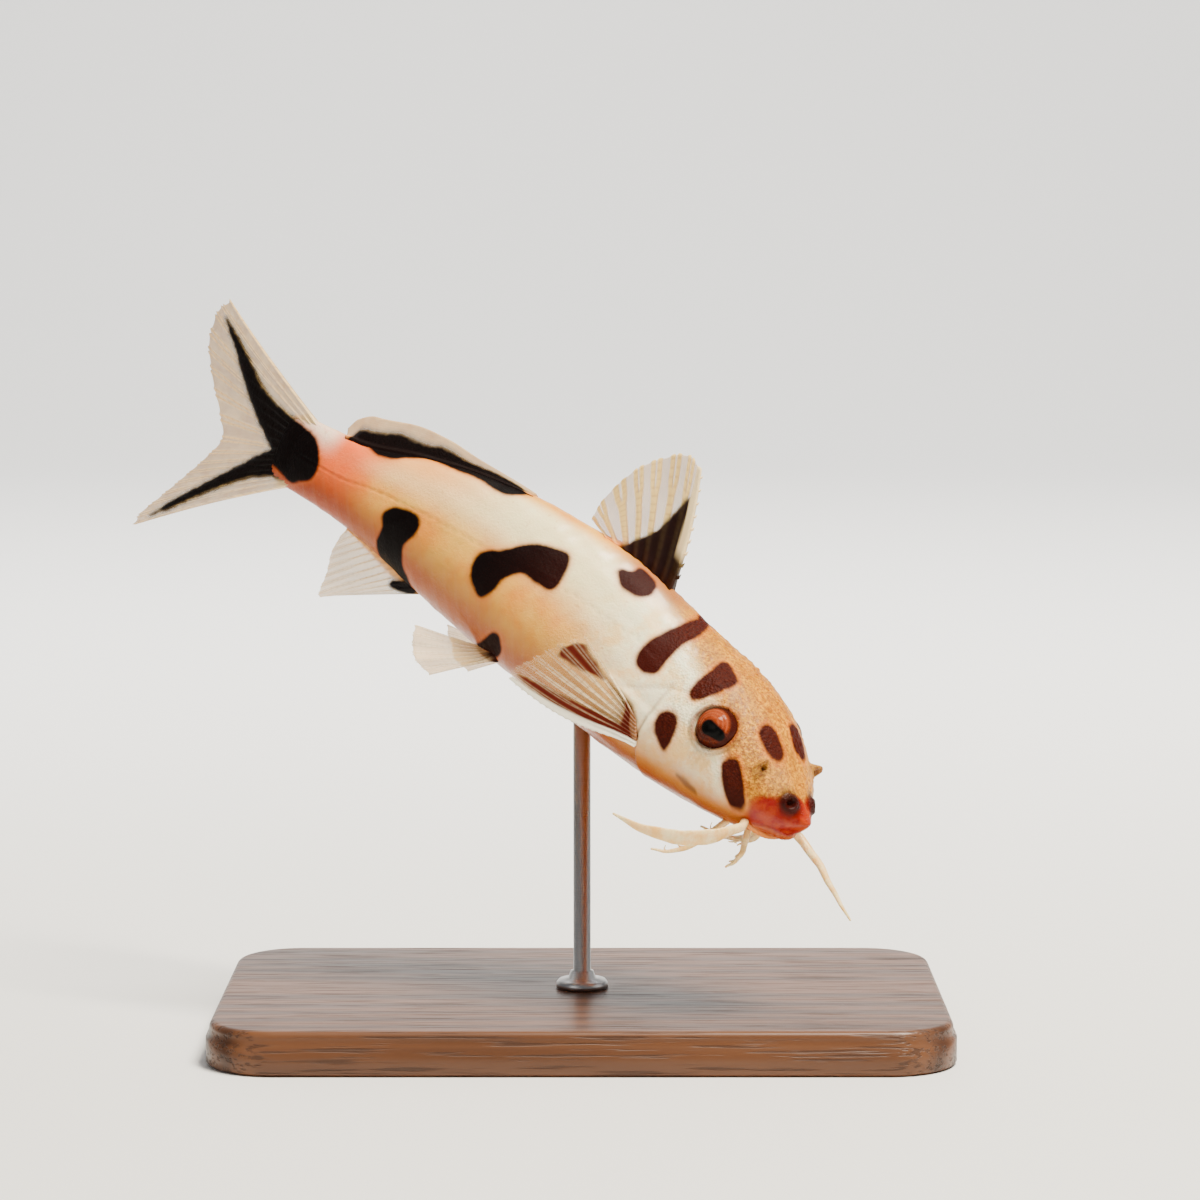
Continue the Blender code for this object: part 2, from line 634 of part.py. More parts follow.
def stand(body_cutter):
    """A flat plate with rounded corners, and one short rod up to the belly."""
    length, width, height = STAND_BASE
    outline = []
    for corner in range(4):
        for step in range(7):
            turn = math.pi / 2 * (corner + step / 6)
            x = (length / 2 - STAND_CORNER) * (1 if corner in (0, 3) else -1)
            y = (width / 2 - STAND_CORNER) * (1 if corner in (0, 1) else -1)
            outline.append((x + STAND_CORNER * math.cos(turn), y + STAND_CORNER * math.sin(turn)))
    outline = np.array(outline)
    soft = 0.0008
    rings = []
    for up, inset in ((0, 0), (height - soft, 0), (height - soft * 0.3, soft * 0.3), (height, soft)):
        scale = 1 - inset / (np.array([length, width]) / 2)
        rings.append(np.column_stack([outline * scale, np.full(len(outline), up)]))
    lofted("stand_base", rings, colour=BOARD, rough=0.5)
    turn = np.arange(20) / 20 * 2 * math.pi
    ring = np.stack([ROD_RADIUS * np.cos(turn), ROD_RADIUS * np.sin(turn), 0 * turn], -1)
    rod = lofted("stand_rod", [ring + (0, 0, height + GAP), ring + (0, 0, HELD_HEIGHT)],
                 colour=STEEL, rough=0.3, metal=1.0)
    combine(rod, [body_cutter], "DIFFERENCE", keep=True)


def main():
    for old in list(bpy.data.objects):
        bpy.data.objects.remove(old)
    head, trunk = body()
    cutter = clearance()
    grown = [dorsal_fin(), adipose_fin(), caudal_fin(), anal_fin(),
             pelvic_fin("pelvic_fin_right", -1), pelvic_fin("pelvic_fin_left", 1),
             pectoral_fin("pectoral_fin_right", -1), pectoral_fin("pectoral_fin_left", 1)]
    for piece in grown + barbels():
        combine(piece, [cutter], "DIFFERENCE", keep=True)
    stand(cutter)
    bpy.data.objects.remove(cutter)
    rims, pits = nostrils()
    combine(head, lips() + rims, "UNION")
    combine(head, pits, "DIFFERENCE")
    combine(trunk, shoulder_spikes(), "UNION")
    eyes(head)


main()
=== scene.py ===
"""A life-size painted model of a small spotted African catfish, Synodontis polli, on its display stand.

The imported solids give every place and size. One skin replaces the three solids of the body, finer
sheets replace the fins, finer rods replace the feelers, and balls with painted irises the eyes.

Body places are (back, left, up), as fractions of the standard length: back runs from the snout along
the spine, left and up are across it. place() bends them along the spine and puts them in the world.
"""
import math

import bpy
import numpy as np
from bpy.props import FloatProperty, FloatVectorProperty, PointerProperty
from bpy.types import Operator, Panel, PropertyGroup
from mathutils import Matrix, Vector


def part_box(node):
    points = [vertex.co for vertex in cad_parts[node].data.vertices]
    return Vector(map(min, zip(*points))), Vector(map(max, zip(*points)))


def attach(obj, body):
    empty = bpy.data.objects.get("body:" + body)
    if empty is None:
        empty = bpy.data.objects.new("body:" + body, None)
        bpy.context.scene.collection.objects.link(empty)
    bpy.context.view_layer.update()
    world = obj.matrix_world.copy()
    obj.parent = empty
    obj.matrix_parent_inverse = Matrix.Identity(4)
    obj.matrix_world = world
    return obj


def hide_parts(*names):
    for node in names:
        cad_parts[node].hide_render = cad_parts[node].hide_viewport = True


bl_info = {
    "name": "Spotted Catfish on a Stand",
    "version": (1, 0, 0),
    "blender": (4, 5, 0),
    "location": "View3D > Sidebar > Catfish",
    "description": "Builds the skin, fins, feelers, eyes and stand of a life-size catfish model",
    "category": "Object",
}

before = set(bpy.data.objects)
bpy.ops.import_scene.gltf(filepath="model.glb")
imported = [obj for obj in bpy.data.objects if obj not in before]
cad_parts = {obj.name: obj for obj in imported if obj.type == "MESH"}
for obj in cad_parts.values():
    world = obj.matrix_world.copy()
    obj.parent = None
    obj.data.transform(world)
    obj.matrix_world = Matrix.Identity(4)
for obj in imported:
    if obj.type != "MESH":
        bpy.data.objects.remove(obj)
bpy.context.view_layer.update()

# Sizes of the solids, in metres
LENGTH = 0.080
MM = LENGTH * 1000  # turns a body place into mm
EYE_RADIUS = 0.0026
EYE_DEPTH = 0.0011
EYE_DISC = math.sqrt(EYE_RADIUS ** 2 - EYE_DEPTH ** 2) * 1000  # radius of its part in the open, in mm
ROD_RADIUS = 0.001
STAND_CORNER = 0.008

# Pose, as in the solids: degrees, and the point of the spine that stands over the rod
HEADING = -46.0
DIVE = 28.1
ROLL = -12.5
HELD_AT = 0.46
HELD_HEIGHT = 0.0465
SIDE_BEND = ((0.0, 0), (0.22, 68.4), (0.40, 33), (0.60, -2), (0.80, -37), (1.0, -57), (1.3, -56))
UP_BEND = ((0.0, 0), (0.22, 9), (0.40, -1), (0.60, -20), (0.80, -28), (1.0, -21), (1.3, -9))
TWIST = ((0.0, 0), (0.22, -10), (0.40, -7.7), (0.60, -5.5), (0.80, -2.8), (1.0, -1), (1.3, 0))

# Outlines of the body, as (back, size)
BACK = ((-0.006, -0.002), (0.02, 0.012), (0.05, 0.036), (0.10, 0.072), (0.155, 0.098), (0.22, 0.113),
        (0.30, 0.121), (0.385, 0.132), (0.45, 0.137), (0.60, 0.128), (0.70, 0.113), (0.80, 0.088),
        (0.90, 0.062), (1.0, 0.058))
BELLY = ((-0.006, -0.024), (0.02, -0.045), (0.05, -0.062), (0.10, -0.077), (0.22, -0.097),
         (0.34, -0.107), (0.50, -0.110), (0.60, -0.104), (0.70, -0.091), (0.80, -0.072), (0.90, -0.057),
         (1.0, -0.050))
HALF_WIDTH = ((-0.006, 0.016), (0.02, 0.032), (0.05, 0.062), (0.10, 0.090), (0.155, 0.101),
              (0.22, 0.108), (0.30, 0.109), (0.385, 0.101), (0.52, 0.086), (0.60, 0.074),
              (0.70, 0.057), (0.80, 0.041), (0.90, 0.028), (0.97, 0.020), (1.0, 0.013))
WIDEST = ((-0.006, -0.008), (0.05, -0.018), (0.10, -0.023), (0.25, -0.020), (0.45, -0.012),
          (0.70, 0.0), (1.0, 0.002))
ROOF = ((0.0, 2.2), (0.15, 2.3), (0.27, 1.85), (0.38, 1.65), (0.55, 1.8), (0.75, 2.0), (1.0, 2.0))
FLOOR = ((0.0, 2.1), (0.15, 2.5), (0.45, 2.3), (0.70, 2.0), (1.0, 2.0))
SNOUT_TIP = -0.006
SNOUT_ROUND = 0.030
NECK = 0.250
TAIL_ROOT = 1.0
FLESH_END = 1.035

# Places on the head, as in the solids
EYE = (0.156, 0.040)
REAR_NOSTRIL = (0.071, 47)
FRONT_NOSTRIL = (0.023, 45)
MOUTH_HALF_WIDTH = 0.045
UPPER_LIP = (0.019, 0.044)
LOWER_LIP = (0.040, 0.050)
LIP_RADIUS = 0.9  # mm, as all the heights of small forms
LIP_SINK = 0.5
COVER_START = 0.15
COVER_EDGE = 0.236
COVER_RISE = 0.5
SHOULDER_PLATE = ((0.255, -88), (0.300, -84), (0.352, -80))

# Fineness of the skin: rows of the snout, head, trunk and flesh end, and points round it
HEAD_START = 0.0244
SNOUT_ROWS = 52
HEAD_ROWS = 170
TRUNK_ROWS = 205
END_ROWS = 14
AROUND = 220
RAY_STEPS = 8  # columns of a fin from one ray to the next

# Fine patterns: a halo's width and a muscle block's length in mm, and numbers of rings and joints
HALO_WIDTH = 0.55
BLOCK_PITCH = 1.9
RAY_JOINTS = 26.0
FEELER_RINGS = 60.0
IRIS_RINGS = 16.0
FIN_RAY = (250, 214, 146)  # display colour of the plainest rays

# Blotches of the right side as outlines of (back, turn in degrees) on the skin
BLOTCHES = {
    "arch": ((0.630, -92), (0.631, -76), (0.603, -65), (0.578, -52), (0.546, -44), (0.518, -42),
             (0.505, -54), (0.506, -66), (0.534, -69), (0.558, -70), (0.577, -80), (0.583, -94),
             (0.600, -104)),
    "flag": ((0.801, -98), (0.786, -84), (0.751, -80), (0.736, -86), (0.737, -98), (0.746, -113),
             (0.738, -134), (0.722, -150), (0.722, -172), (0.775, -176), (0.792, -150), (0.796, -134),
             (0.794, -113)),
    "saddle": ((0.449, -31), (0.448, -26), (0.436, -22), (0.429, -12), (0.398, -14), (0.388, -24),
               (0.394, -32), (0.410, -36), (0.430, -37)),
    "nape": ((0.333, -62), (0.338, -52), (0.331, -39), (0.322, -23), (0.317, 3), (0.303, 3),
             (0.291, -18), (0.294, -36), (0.292, -50), (0.291, -60), (0.311, -65)),
    "temple": ((0.227, -57), (0.231, -48), (0.231, -36), (0.234, -25), (0.225, -19), (0.206, -20),
               (0.190, -23), (0.187, -31), (0.192, -43), (0.201, -54), (0.214, -59)),
    "cheek": ((0.241, -83), (0.240, -76), (0.226, -72), (0.211, -74), (0.201, -81), (0.198, -90),
              (0.202, -94), (0.217, -91), (0.231, -88)),
    "lachrymal": ((0.113, -74), (0.110, -68), (0.101, -63), (0.089, -65), (0.076, -73), (0.065, -84),
                  (0.058, -94), (0.060, -105), (0.071, -108), (0.080, -98), (0.095, -87), (0.107, -80)),
    "brow": ((0.116, -28), (0.117, -20), (0.109, -14), (0.092, -12), (0.076, -13), (0.068, -22),
             (0.074, -31), (0.092, -34), (0.107, -33)),
    "hip": ((0.553, -120), (0.537, -119), (0.527, -132), (0.536, -146), (0.556, -150), (0.580, -160),
            (0.566, -138)),
    "tail_root": ((0.966, -52), (0.942, -76), (0.937, -98), (0.944, -116), (0.962, -128),
                  (0.984, -143), (1.040, -150), (1.040, -45), (1.000, -42)),
}
# Lower edge of the back's long stripe on the right side, and small streaks with a radius in mm
BACK_STRIPE = ((0.631, -9), (0.645, -23), (0.663, -27), (0.703, -22), (0.740, -20), (0.779, -13),
               (0.811, -21), (0.831, -34), (0.858, -34), (0.884, -19), (0.900, -7))
# The first streak is painted shadow in the gap between the gill cover's rear edge and the pectoral fin's
# root
PECTORAL_ROOT_SHADOW = ((0.345, -84, 0.15), (0.316, -84, 0.40), (0.290, -87, 0.60), (0.272, -93, 0.75),
                 (0.264, -101, 0.70), (0.262, -108, 0.30))
GILL_STREAK = ((0.164, -106, 0.15), (0.146, -108, 0.40), (0.129, -111, 0.30))
# Rear edge of the red round the mouth, as (turn in degrees, back)
RED_EDGE = ((0, 0.026), (12, 0.033), (45, 0.037), (63, 0.045), (77, 0.056), (91, 0.060), (119, 0.060),
            (135, 0.048), (180, 0.026))
# Lower edge of the golden forehead, as (back, turn in degrees)
GOLD_EDGE = ((0, 105), (0.06, 90), (0.09, 76), (0.13, 66), (0.17, 53), (0.22, 44), (0.27, 36), (0.33, 26),
             (0.42, 14))
SIDE_LINE = ((0.262, -55), (0.349, -52), (0.426, -57), (0.473, -59), (0.599, -72), (0.712, -76),
             (0.85, -82), (0.98, -88))
NECK_CREASE = ((0.345, -82), (0.324, -79), (0.300, -74), (0.280, -67), (0.255, -61), (0.225, -56))
# How the unseen left side differs from a mirror image of the right: shifts of (back, turn)
LEFT_SHIFT = {"arch": (-0.022, 5), "flag": (0.018, -6), "saddle": (0.012, 6), "nape": (0.006, 0),
              "temple": (-0.006, 4), "cheek": (0.008, 3), "lachrymal": (-0.004, 2), "brow": (0.002, -10),
              "hip": (0.010, 0), "tail_root": (0.0, 0)}


def curve(points, x):
    """Smooth curve through points of (place, size), which never overshoots them, read at x."""
    xs, ys = np.array(points, float).T
    x = np.clip(np.asarray(x, float), xs[0], xs[-1])
    step = np.diff(xs)
    rise = np.diff(ys) / step
    same = rise[1:] * rise[:-1] > 0
    total = np.where(same, rise[1:] + rise[:-1], 1.0)
    middle = np.where(same, 2 * rise[1:] * rise[:-1] / total, 0.0)
    slope = np.concatenate([[rise[0]], middle, [rise[-1]]])
    i = np.clip(np.searchsorted(xs, x) - 1, 0, len(step) - 1)
    t = (x - xs[i]) / step[i]
    return (ys[i] * (1 + 2 * t) * (1 - t) ** 2 + slope[i] * step[i] * t * (1 - t) ** 2
            + ys[i + 1] * t * t * (3 - 2 * t) + slope[i + 1] * step[i] * t * t * (t - 1))


def between(points, x):
    """Places on a smooth curve through points of (number, back, left, up), read at x."""
    table = np.array(points, float)
    return np.stack([curve(table[:, (0, k)], x) for k in (1, 2, 3)], -1)


def ease(low, high, x):
    """0 below low, 1 above high, and a smooth S between them."""
    t = np.clip((x - low) / (high - low), 0, 1)
    return t * t * (3 - 2 * t)


def spine_frames():
    """Places along the spine, and its left and up directions there, by summing the bend."""
    s = np.linspace(-0.2, 1.4, 641)
    ds = s[1] - s[0]

    def total(rates):
        rate = np.radians(np.interp(s, *zip(*rates), left=0))
        turned = np.concatenate([[0], np.cumsum((rate[1:] + rate[:-1]) / 2 * ds)])
        return turned - np.interp(0, s, turned)

    yaw, pitch, twist = total(SIDE_BEND), total(UP_BEND), total(TWIST)[:, None]
    forward = np.stack([np.cos(yaw) * np.cos(pitch), np.sin(yaw) * np.cos(pitch), -np.sin(pitch)], 1)
    level = np.stack([-np.sin(yaw), np.cos(yaw), 0 * yaw], 1)
    left = level * np.cos(twist) + np.cross(forward, level) * np.sin(twist)
    up = np.cross(forward, left)
    middle = np.concatenate([np.zeros((1, 3)), np.cumsum((forward[1:] + forward[:-1]) / 2 * ds, 0)])
    start = np.array([np.interp(0, s, middle[:, k]) for k in range(3)])
    return s, start - middle, left, up


def head_axes():
    """The head's forward, left and up directions in the world, as columns."""
    turn, dive, roll = math.radians(HEADING), math.radians(DIVE), math.radians(ROLL)
    forward = np.array([math.cos(turn) * math.cos(dive), math.sin(turn) * math.cos(dive),
                        -math.sin(dive)])
    level = np.array([-math.sin(turn), math.cos(turn), 0])
    square = np.cross(forward, level)
    left = math.cos(roll) * level + math.sin(roll) * square
    return np.stack([forward, left, np.cross(forward, left)], 1)


STATIONS, MIDDLE, LEFT, UP = spine_frames()
AXES = head_axes()


def place(points):
    """World places, in metres, of body places (back, left, up)."""
    points = np.asarray(points, float)
    back = points[..., 0]

    def read(table):
        return np.stack([np.interp(back, STATIONS, table[:, k]) for k in range(3)], -1)

    bent = read(MIDDLE) + read(LEFT) * points[..., 1:2] + read(UP) * points[..., 2:3]
    return bent @ AXES.T * LENGTH + SHIFT


SHIFT = np.zeros(3)
HELD = place((HELD_AT, 0, 0))
SHIFT = np.array([-HELD[0], -HELD[1], HELD_HEIGHT - HELD[2]])


def section(back):
    """Top, bottom, half width and height of the widest place of the body's section, at stations.

    Past the root of the tail fin the section closes to a thin rounded end."""
    near = np.clip((back - SNOUT_TIP) / SNOUT_ROUND, 0, 1)
    full = np.sqrt(1 - (1 - near) ** 2)
    past = np.clip((back - TAIL_ROOT) / (FLESH_END - TAIL_ROOT), 0, 1)
    close = np.sqrt(np.maximum(1 - past ** 2, 1e-4))
    widest = curve(WIDEST, back)
    top = widest + (curve(BACK, back) - widest) * full * (0.72 + 0.28 * close)
    bottom = widest + (curve(BELLY, back) - widest) * full * (0.72 + 0.28 * close)
    return top, bottom, curve(HALF_WIDTH, back) * full * close, widest


def skin(back, turn):
    """Body places on the skin: turn runs from the back (0) round the left side to the belly (pi).

    Each section is two half superellipses, |y/w|^n + |z/h|^n = 1, that meet at the widest place."""
    back, turn = np.broadcast_arrays(np.asarray(back, float), np.asarray(turn, float))
    top, bottom, width, widest = section(back)
    cos, sin = np.cos(turn), np.sin(turn)
    power = np.where(cos > 0, curve(ROOF, back), curve(FLOOR, back))
    tall = np.where(cos > 0, top - widest, widest - bottom)
    side = np.sign(sin) * np.abs(sin) ** (2 / power) * width
    height = np.sign(cos) * np.abs(cos) ** (2 / power) * tall
    return np.stack([back, side, widest + height], -1)


def top_at(back):
    """Height of the middle line of the back."""
    return section(np.asarray(back, float))[0]


def belly_at(back, left=0.0):
    """Height of the belly at a distance to the left of its middle line."""
    bottom, width, widest = section(np.asarray(back, float))[1:]
    power = curve(FLOOR, back)
    return widest - (widest - bottom) * (1 - np.abs(left / width) ** power) ** (1 / power)


def flank_at(back, up):
    """Distance of the flank from the middle plane, at a height."""
    top, bottom, width, widest = section(np.asarray(back, float))
    power = np.where(up > widest, curve(ROOF, back), curve(FLOOR, back))
    tall = np.where(up > widest, top - widest, widest - bottom)
    return width * (1 - np.abs((up - widest) / tall) ** power) ** (1 / power)


def eye_place(side):
    """World centre of an eyeball and its direction out of the head, as the solids have them."""
    back, up = EYE
    out = flank_at(back, up)
    surface = place((back, side * out, up))
    inward = place((back, side * (out - 0.02), up - 0.006)) - surface
    inward = inward / np.linalg.norm(inward)
    return surface + inward * EYE_DEPTH, -inward


def girth(back, turn):
    """Distance round the skin, in mm, from the middle of the back to a turn; the right is negative."""
    steps = np.linspace(0, 1, 61) * np.asarray(turn)[..., None]
    ring = skin(np.asarray(back)[..., None], steps) * MM
    return np.sign(turn) * np.linalg.norm(np.diff(ring, axis=-2), axis=-1).sum(-1)


def chart(points):
    """Flat chart places in mm, (along the back, round the skin), of (back, turn in degrees)."""
    back, turn = np.array(points, float).T[:2]
    return np.stack([back * MM, girth(back, np.radians(turn))], -1)


def on_side(hand, points, back=0.0, turn=0.0):
    """Chart places of the right side's points of (back, turn) on one side, moved a little."""
    return chart([(point[0] + back, turn - hand * point[1]) for point in points])


def closed_curve(corners, parts=6):
    """A smooth closed curve through corners: Catmull-Rom arcs, with parts points on each."""
    p0, p1, p2, p3 = (np.roll(corners, k, axis=0)[:, None] for k in (1, 0, -1, -2))
    t = (np.arange(parts) / parts)[None, :, None]
    arcs = 0.5 * (2 * p1 + (p2 - p0) * t + (2 * p0 - 5 * p1 + 4 * p2 - p3) * t ** 2
                  + (3 * p1 - p0 - 3 * p2 + p3) * t ** 3)
    return arcs.reshape(-1, corners.shape[1])


def segment_distance(spot, a, b):
    """Distance of places from the segment a to b, and how far along it their nearest point lies."""
    along = b - a
    t = np.clip(((spot - a) @ along) / max(along @ along, 1e-12), 0, 1)
    return np.linalg.norm(spot - a - t[..., None] * along, axis=-1), t


def outline_distance(spot, corners, reach=3.0):
    """Signed distance in mm of chart places from a smooth closed outline, negative inside it.

    It is the distance to the nearest side; a place is inside where a ray crosses an odd number of
    sides. Places further than reach from the outline's box get reach."""
    line = closed_curve(corners)
    low, high = line.min(0) - reach, line.max(0) + reach
    close = ((spot > low) & (spot < high)).all(-1)
    near = spot[close]
    best = np.full(len(near), reach)
    inside = np.zeros(len(near), bool)
    for a, b in zip(line, np.roll(line, -1, axis=0)):
        best = np.minimum(best, segment_distance(near, a, b)[0])
        if a[1] != b[1]:
            crossing = (near[:, 1] > a[1]) != (near[:, 1] > b[1])
            inside ^= crossing & (near[:, 0] < a[0] + (b[0] - a[0]) * (near[:, 1] - a[1]) / (b[1] - a[1]))
    answer = np.full(spot.shape[:-1], reach)
    answer[close] = np.where(inside, -best, best)
    return answer


def streak_distance(spot, stops, radii):
    """Signed distance in mm from a chain of tapering strokes through stops, negative inside it."""
    best = np.full(spot.shape[:-1], 9.0)
    for a, b, ra, rb in zip(stops, stops[1:], radii, radii[1:]):
        gap, t = segment_distance(spot, a, b)
        best = np.minimum(best, gap - ra - (rb - ra) * t)
    return best


def path_distance(spot, path):
    """Distance of places from a line of points."""
    return streak_distance(spot, path, np.zeros(len(path)))


def bell(x, width):
    """1 at x = 0, falling smoothly to nothing over a few widths."""
    return np.exp(-(x / width) ** 2)


def lumps(spot, pitch, seed):
    """Smooth uneven relief from -1 to 1: a mean of six crossed waves with fixed random directions."""
    draw = np.random.default_rng(seed)
    total = 0
    for _ in range(6):
        way = draw.normal(size=3)
        way /= np.linalg.norm(way)
        total = total + np.sin(spot @ way * (2 * math.pi / pitch) * draw.uniform(0.7, 1.4)
                               + draw.uniform(0, 6.3))
    return total / 3


def new_piece(name, points, faces, marks, finish, slot, nodes):
    """An object at the origin from world points and faces, with point attributes and one finish."""
    mesh = bpy.data.meshes.new(name)
    mesh.from_pydata(points, [], faces)
    mesh.shade_smooth()
    for label, values in marks.items():
        layer = mesh.attributes.new(label, "FLOAT", "POINT")
        layer.data.foreach_set("value", np.ascontiguousarray(values, np.float32).ravel())
    mesh.materials.append(finish)
    piece = bpy.data.objects.new(name, mesh)
    bpy.context.scene.collection.objects.link(piece)
    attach(piece, "root")
    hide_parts(*nodes)


def with_poles(grid, first, last):
    """A grid's points or values in one list, between those of the two points that close it."""
    return np.concatenate([[first], grid.reshape(-1, *np.shape(first)), [last]])


def tube_faces(rows, columns):
    """Faces of a closed tube of rows of columns points, with a single point before and after them."""
    ring = np.arange(rows * columns).reshape(rows, columns) + 1
    near = np.roll(ring, -1, axis=1)
    walls = np.stack([ring[:-1], near[:-1], near[1:], ring[1:]], -1).reshape(-1, 4)
    last = rows * columns + 1
    front = [(0, b, a) for a, b in zip(ring[0], near[0])]
    rear = [(last, a, b) for a, b in zip(ring[-1], near[-1])]
    return walls.tolist() + front + rear


def outward(world, inside):
    """Unit normals of a tube of rings of world points, turned away from the middles of its rings."""
    down = np.gradient(world, axis=0)
    round_it = np.roll(world, -1, axis=1) - np.roll(world, 1, axis=1)
    normal = np.cross(round_it, down)
    normal /= np.linalg.norm(normal, axis=-1, keepdims=True) + 1e-12
    facing = np.sign(((world - inside) * normal).sum(-1, keepdims=True))
    return normal * np.where(facing == 0, 1, facing)


def lip_ridges(spot):
    """Two full lips, in mm of height: each is the part of a round rod that stands out of the skin.

    The rod's line runs from the corner of the mouth to its middle; its radius grows to the middle."""
    across = np.linspace(-1, 1, 41)
    ridges = []
    for middle, corner in (UPPER_LIP, LOWER_LIP):
        back = middle + (corner - middle) * across ** 2
        left = MOUTH_HALF_WIDTH * across
        line = np.stack([back, left, belly_at(back, left)], -1) * MM
        gap = path_distance(spot, line)
        full = 1 - 0.45 * np.clip(spot[..., 1] / (MOUTH_HALF_WIDTH * MM), -1, 1) ** 2
        radius = LIP_RADIUS * full
        ridges.append(np.maximum(np.sqrt(np.maximum(radius ** 2 - gap ** 2, 0)) - LIP_SINK * full, 0))
    return ridges


class SkinGrid:
    """The whole fish's skin: a grid over (back, turn), lifted along its normals by small forms.

    The forms are sums of bells and ridges of the distance from named places and lines. Spot is a
    body place in mm, flat its place on the chart, and lift the height of the forms in mm."""

    def __init__(self):
        nose = SNOUT_TIP + SNOUT_ROUND * (1 - np.cos(np.linspace(0, math.pi / 2, SNOUT_ROWS + 1)[1:]))
        end = TAIL_ROOT + (FLESH_END - TAIL_ROOT) * np.sin(np.linspace(0, math.pi / 2, END_ROWS)[1:])
        self.rows = np.concatenate([nose, np.linspace(HEAD_START, NECK, HEAD_ROWS),
                                    np.linspace(NECK, TAIL_ROOT, TRUNK_ROWS)[1:], end])
        turn = np.arange(AROUND) / AROUND * 2 * math.pi
        turn = np.where(turn > math.pi, turn - 2 * math.pi, turn)
        base = skin(self.rows[:, None], turn[None])
        self.world = place(base)
        inside = place(np.stack([self.rows, 0 * self.rows, section(self.rows)[3]], -1))[:, None]
        self.normal = outward(self.world, inside)
        self.spot = base * MM
        steps = np.linalg.norm(np.diff(self.spot[:, :AROUND // 2 + 1], axis=1), axis=-1)
        arc = np.concatenate([np.zeros((len(self.rows), 1)), np.cumsum(steps, axis=1)], 1)
        self.arc = np.concatenate([arc, -arc[:, 1:-1][:, ::-1]], 1)
        self.flat = np.stack([self.spot[..., 0], self.arc], -1)
        self.back = base[..., 0]
        self.degrees = np.abs(np.degrees(turn))[None] + 0 * self.back
        self.lift, self.shade, self.stain, self.rim = (0 * self.back for _ in range(4))

    def gill_cover(self):
        """The gill cover swells to its curved edge and drops behind it."""
        edge = COVER_EDGE + 0.016 * np.cos(np.radians(self.degrees - 70) * 1.6)
        reach = np.clip(1 - ((self.degrees - 108) / 52) ** 2, 0, 1)
        swell = np.clip((self.back - COVER_START) / (edge - COVER_START), 0, 1) ** 2
        self.lift += COVER_RISE * swell * (1 - ease(edge, edge + 0.006, self.back)) * reach
        self.shade += 0.7 * bell((self.back - edge - 0.004) * MM, 0.28) * np.sqrt(reach)

    def shoulder(self, hand):
        """The pointed plate behind the gill cover, the crease above it, and the line of the flank."""
        gap = streak_distance(self.flat, on_side(hand, SHOULDER_PLATE), (1.3, 0.9, 0.15))
        self.lift += 0.34 * (1 - ease(-0.25, 0.35, gap))
        self.shade += 0.22 * bell(gap - 0.1, 0.25)
        crease = path_distance(self.flat, on_side(hand, NECK_CREASE))
        self.lift -= 0.12 * bell(crease, 0.3)
        self.shade += 0.32 * bell(crease, 0.22)
        line = path_distance(self.flat, on_side(hand, SIDE_LINE))
        self.lift += 0.05 * bell(line, 0.5) - 0.10 * bell(line, 0.18)
        self.shade += 0.30 * bell(line, 0.16) * (0.55 + 0.45 * np.sin(self.spot[..., 0] * 5.2))

    def mouth(self):
        """Two folded lips, whose meeting edges are the line of the mouth, and the red round them."""
        upper, lower = lip_ridges(self.spot)
        folds = 1 + 0.10 * np.sin(np.arctan2(self.spot[..., 1], 3.4) * 46)
        meeting = bell(upper - lower, 0.10) * (np.minimum(upper, lower) > 0.02)
        self.lift += np.maximum(upper, lower) * folds - 0.35 * meeting
        self.shade += meeting
        self.lips = np.maximum(ease(0.02, 0.25, lower), 0.45 * ease(0.02, 0.25, upper))
        edge = curve(RED_EDGE, self.degrees)
        self.red = (1 - ease(edge - 0.014, edge + 0.007, self.back)) * (1 - 0.75 * self.lips)

    def nostril(self, middle, size, rim_height, flap):
        """A rim round a pit. A rear nostril has a pointed flap, and a front one a dark smudge."""
        away = self.spot - middle
        gap = np.linalg.norm(away, axis=-1) / size
        self.lift += rim_height * bell(gap - 0.52, 0.24) - 0.4 * bell(gap, 0.33)
        self.lift += flap * bell(away[..., 0] - 0.45, 0.34) * bell(gap - 0.5, 0.5)
        self.shade += 0.9 * bell(gap, 0.36)
        smudge = np.linalg.norm(away * (0.75, 1, 1), axis=-1)
        self.stain += 0.35 * bell(gap - 0.4, 0.5) if flap else 1 - ease(0.8, 1.95, smudge)

    def eye_socket(self, hand):
        """The skin dips under the eyeball and folds up round it."""
        centre, out = eye_place(hand)
        away = (self.world - centre) * 1000
        along = away @ out
        gap = np.sqrt(np.maximum((away ** 2).sum(-1) - along ** 2, 0)) - EYE_DISC
        here = along > 0
        self.lift += here * (0.34 * bell(gap - 0.22, 0.24) + 0.10 * bell(gap - 0.95, 0.25)
                             - 1.3 * (1 - ease(-0.55, 0, gap)))
        self.shade += here * 0.45 * bell(gap - 0.62, 0.15)
        self.rim = np.maximum(self.rim, here * bell(gap - 0.1, 0.32))

    def bony_shield(self):
        """Fine knobs on the bone over the head and nape, and soft unevenness all over."""
        nape = bell(self.degrees, 48)
        self.shield = 1 - ease(0.21 + 0.14 * nape, 0.25 + 0.15 * nape, self.back)
        self.shield *= 1 - ease(78, 100, self.degrees + 60 * ease(0.06, 0.0, self.back))
        knobs = np.maximum(lumps(self.spot, 0.9, 3), 0) ** 1.5
        self.lift += 0.075 * self.shield * knobs + 0.04 * lumps(self.spot, 3.0, 5)

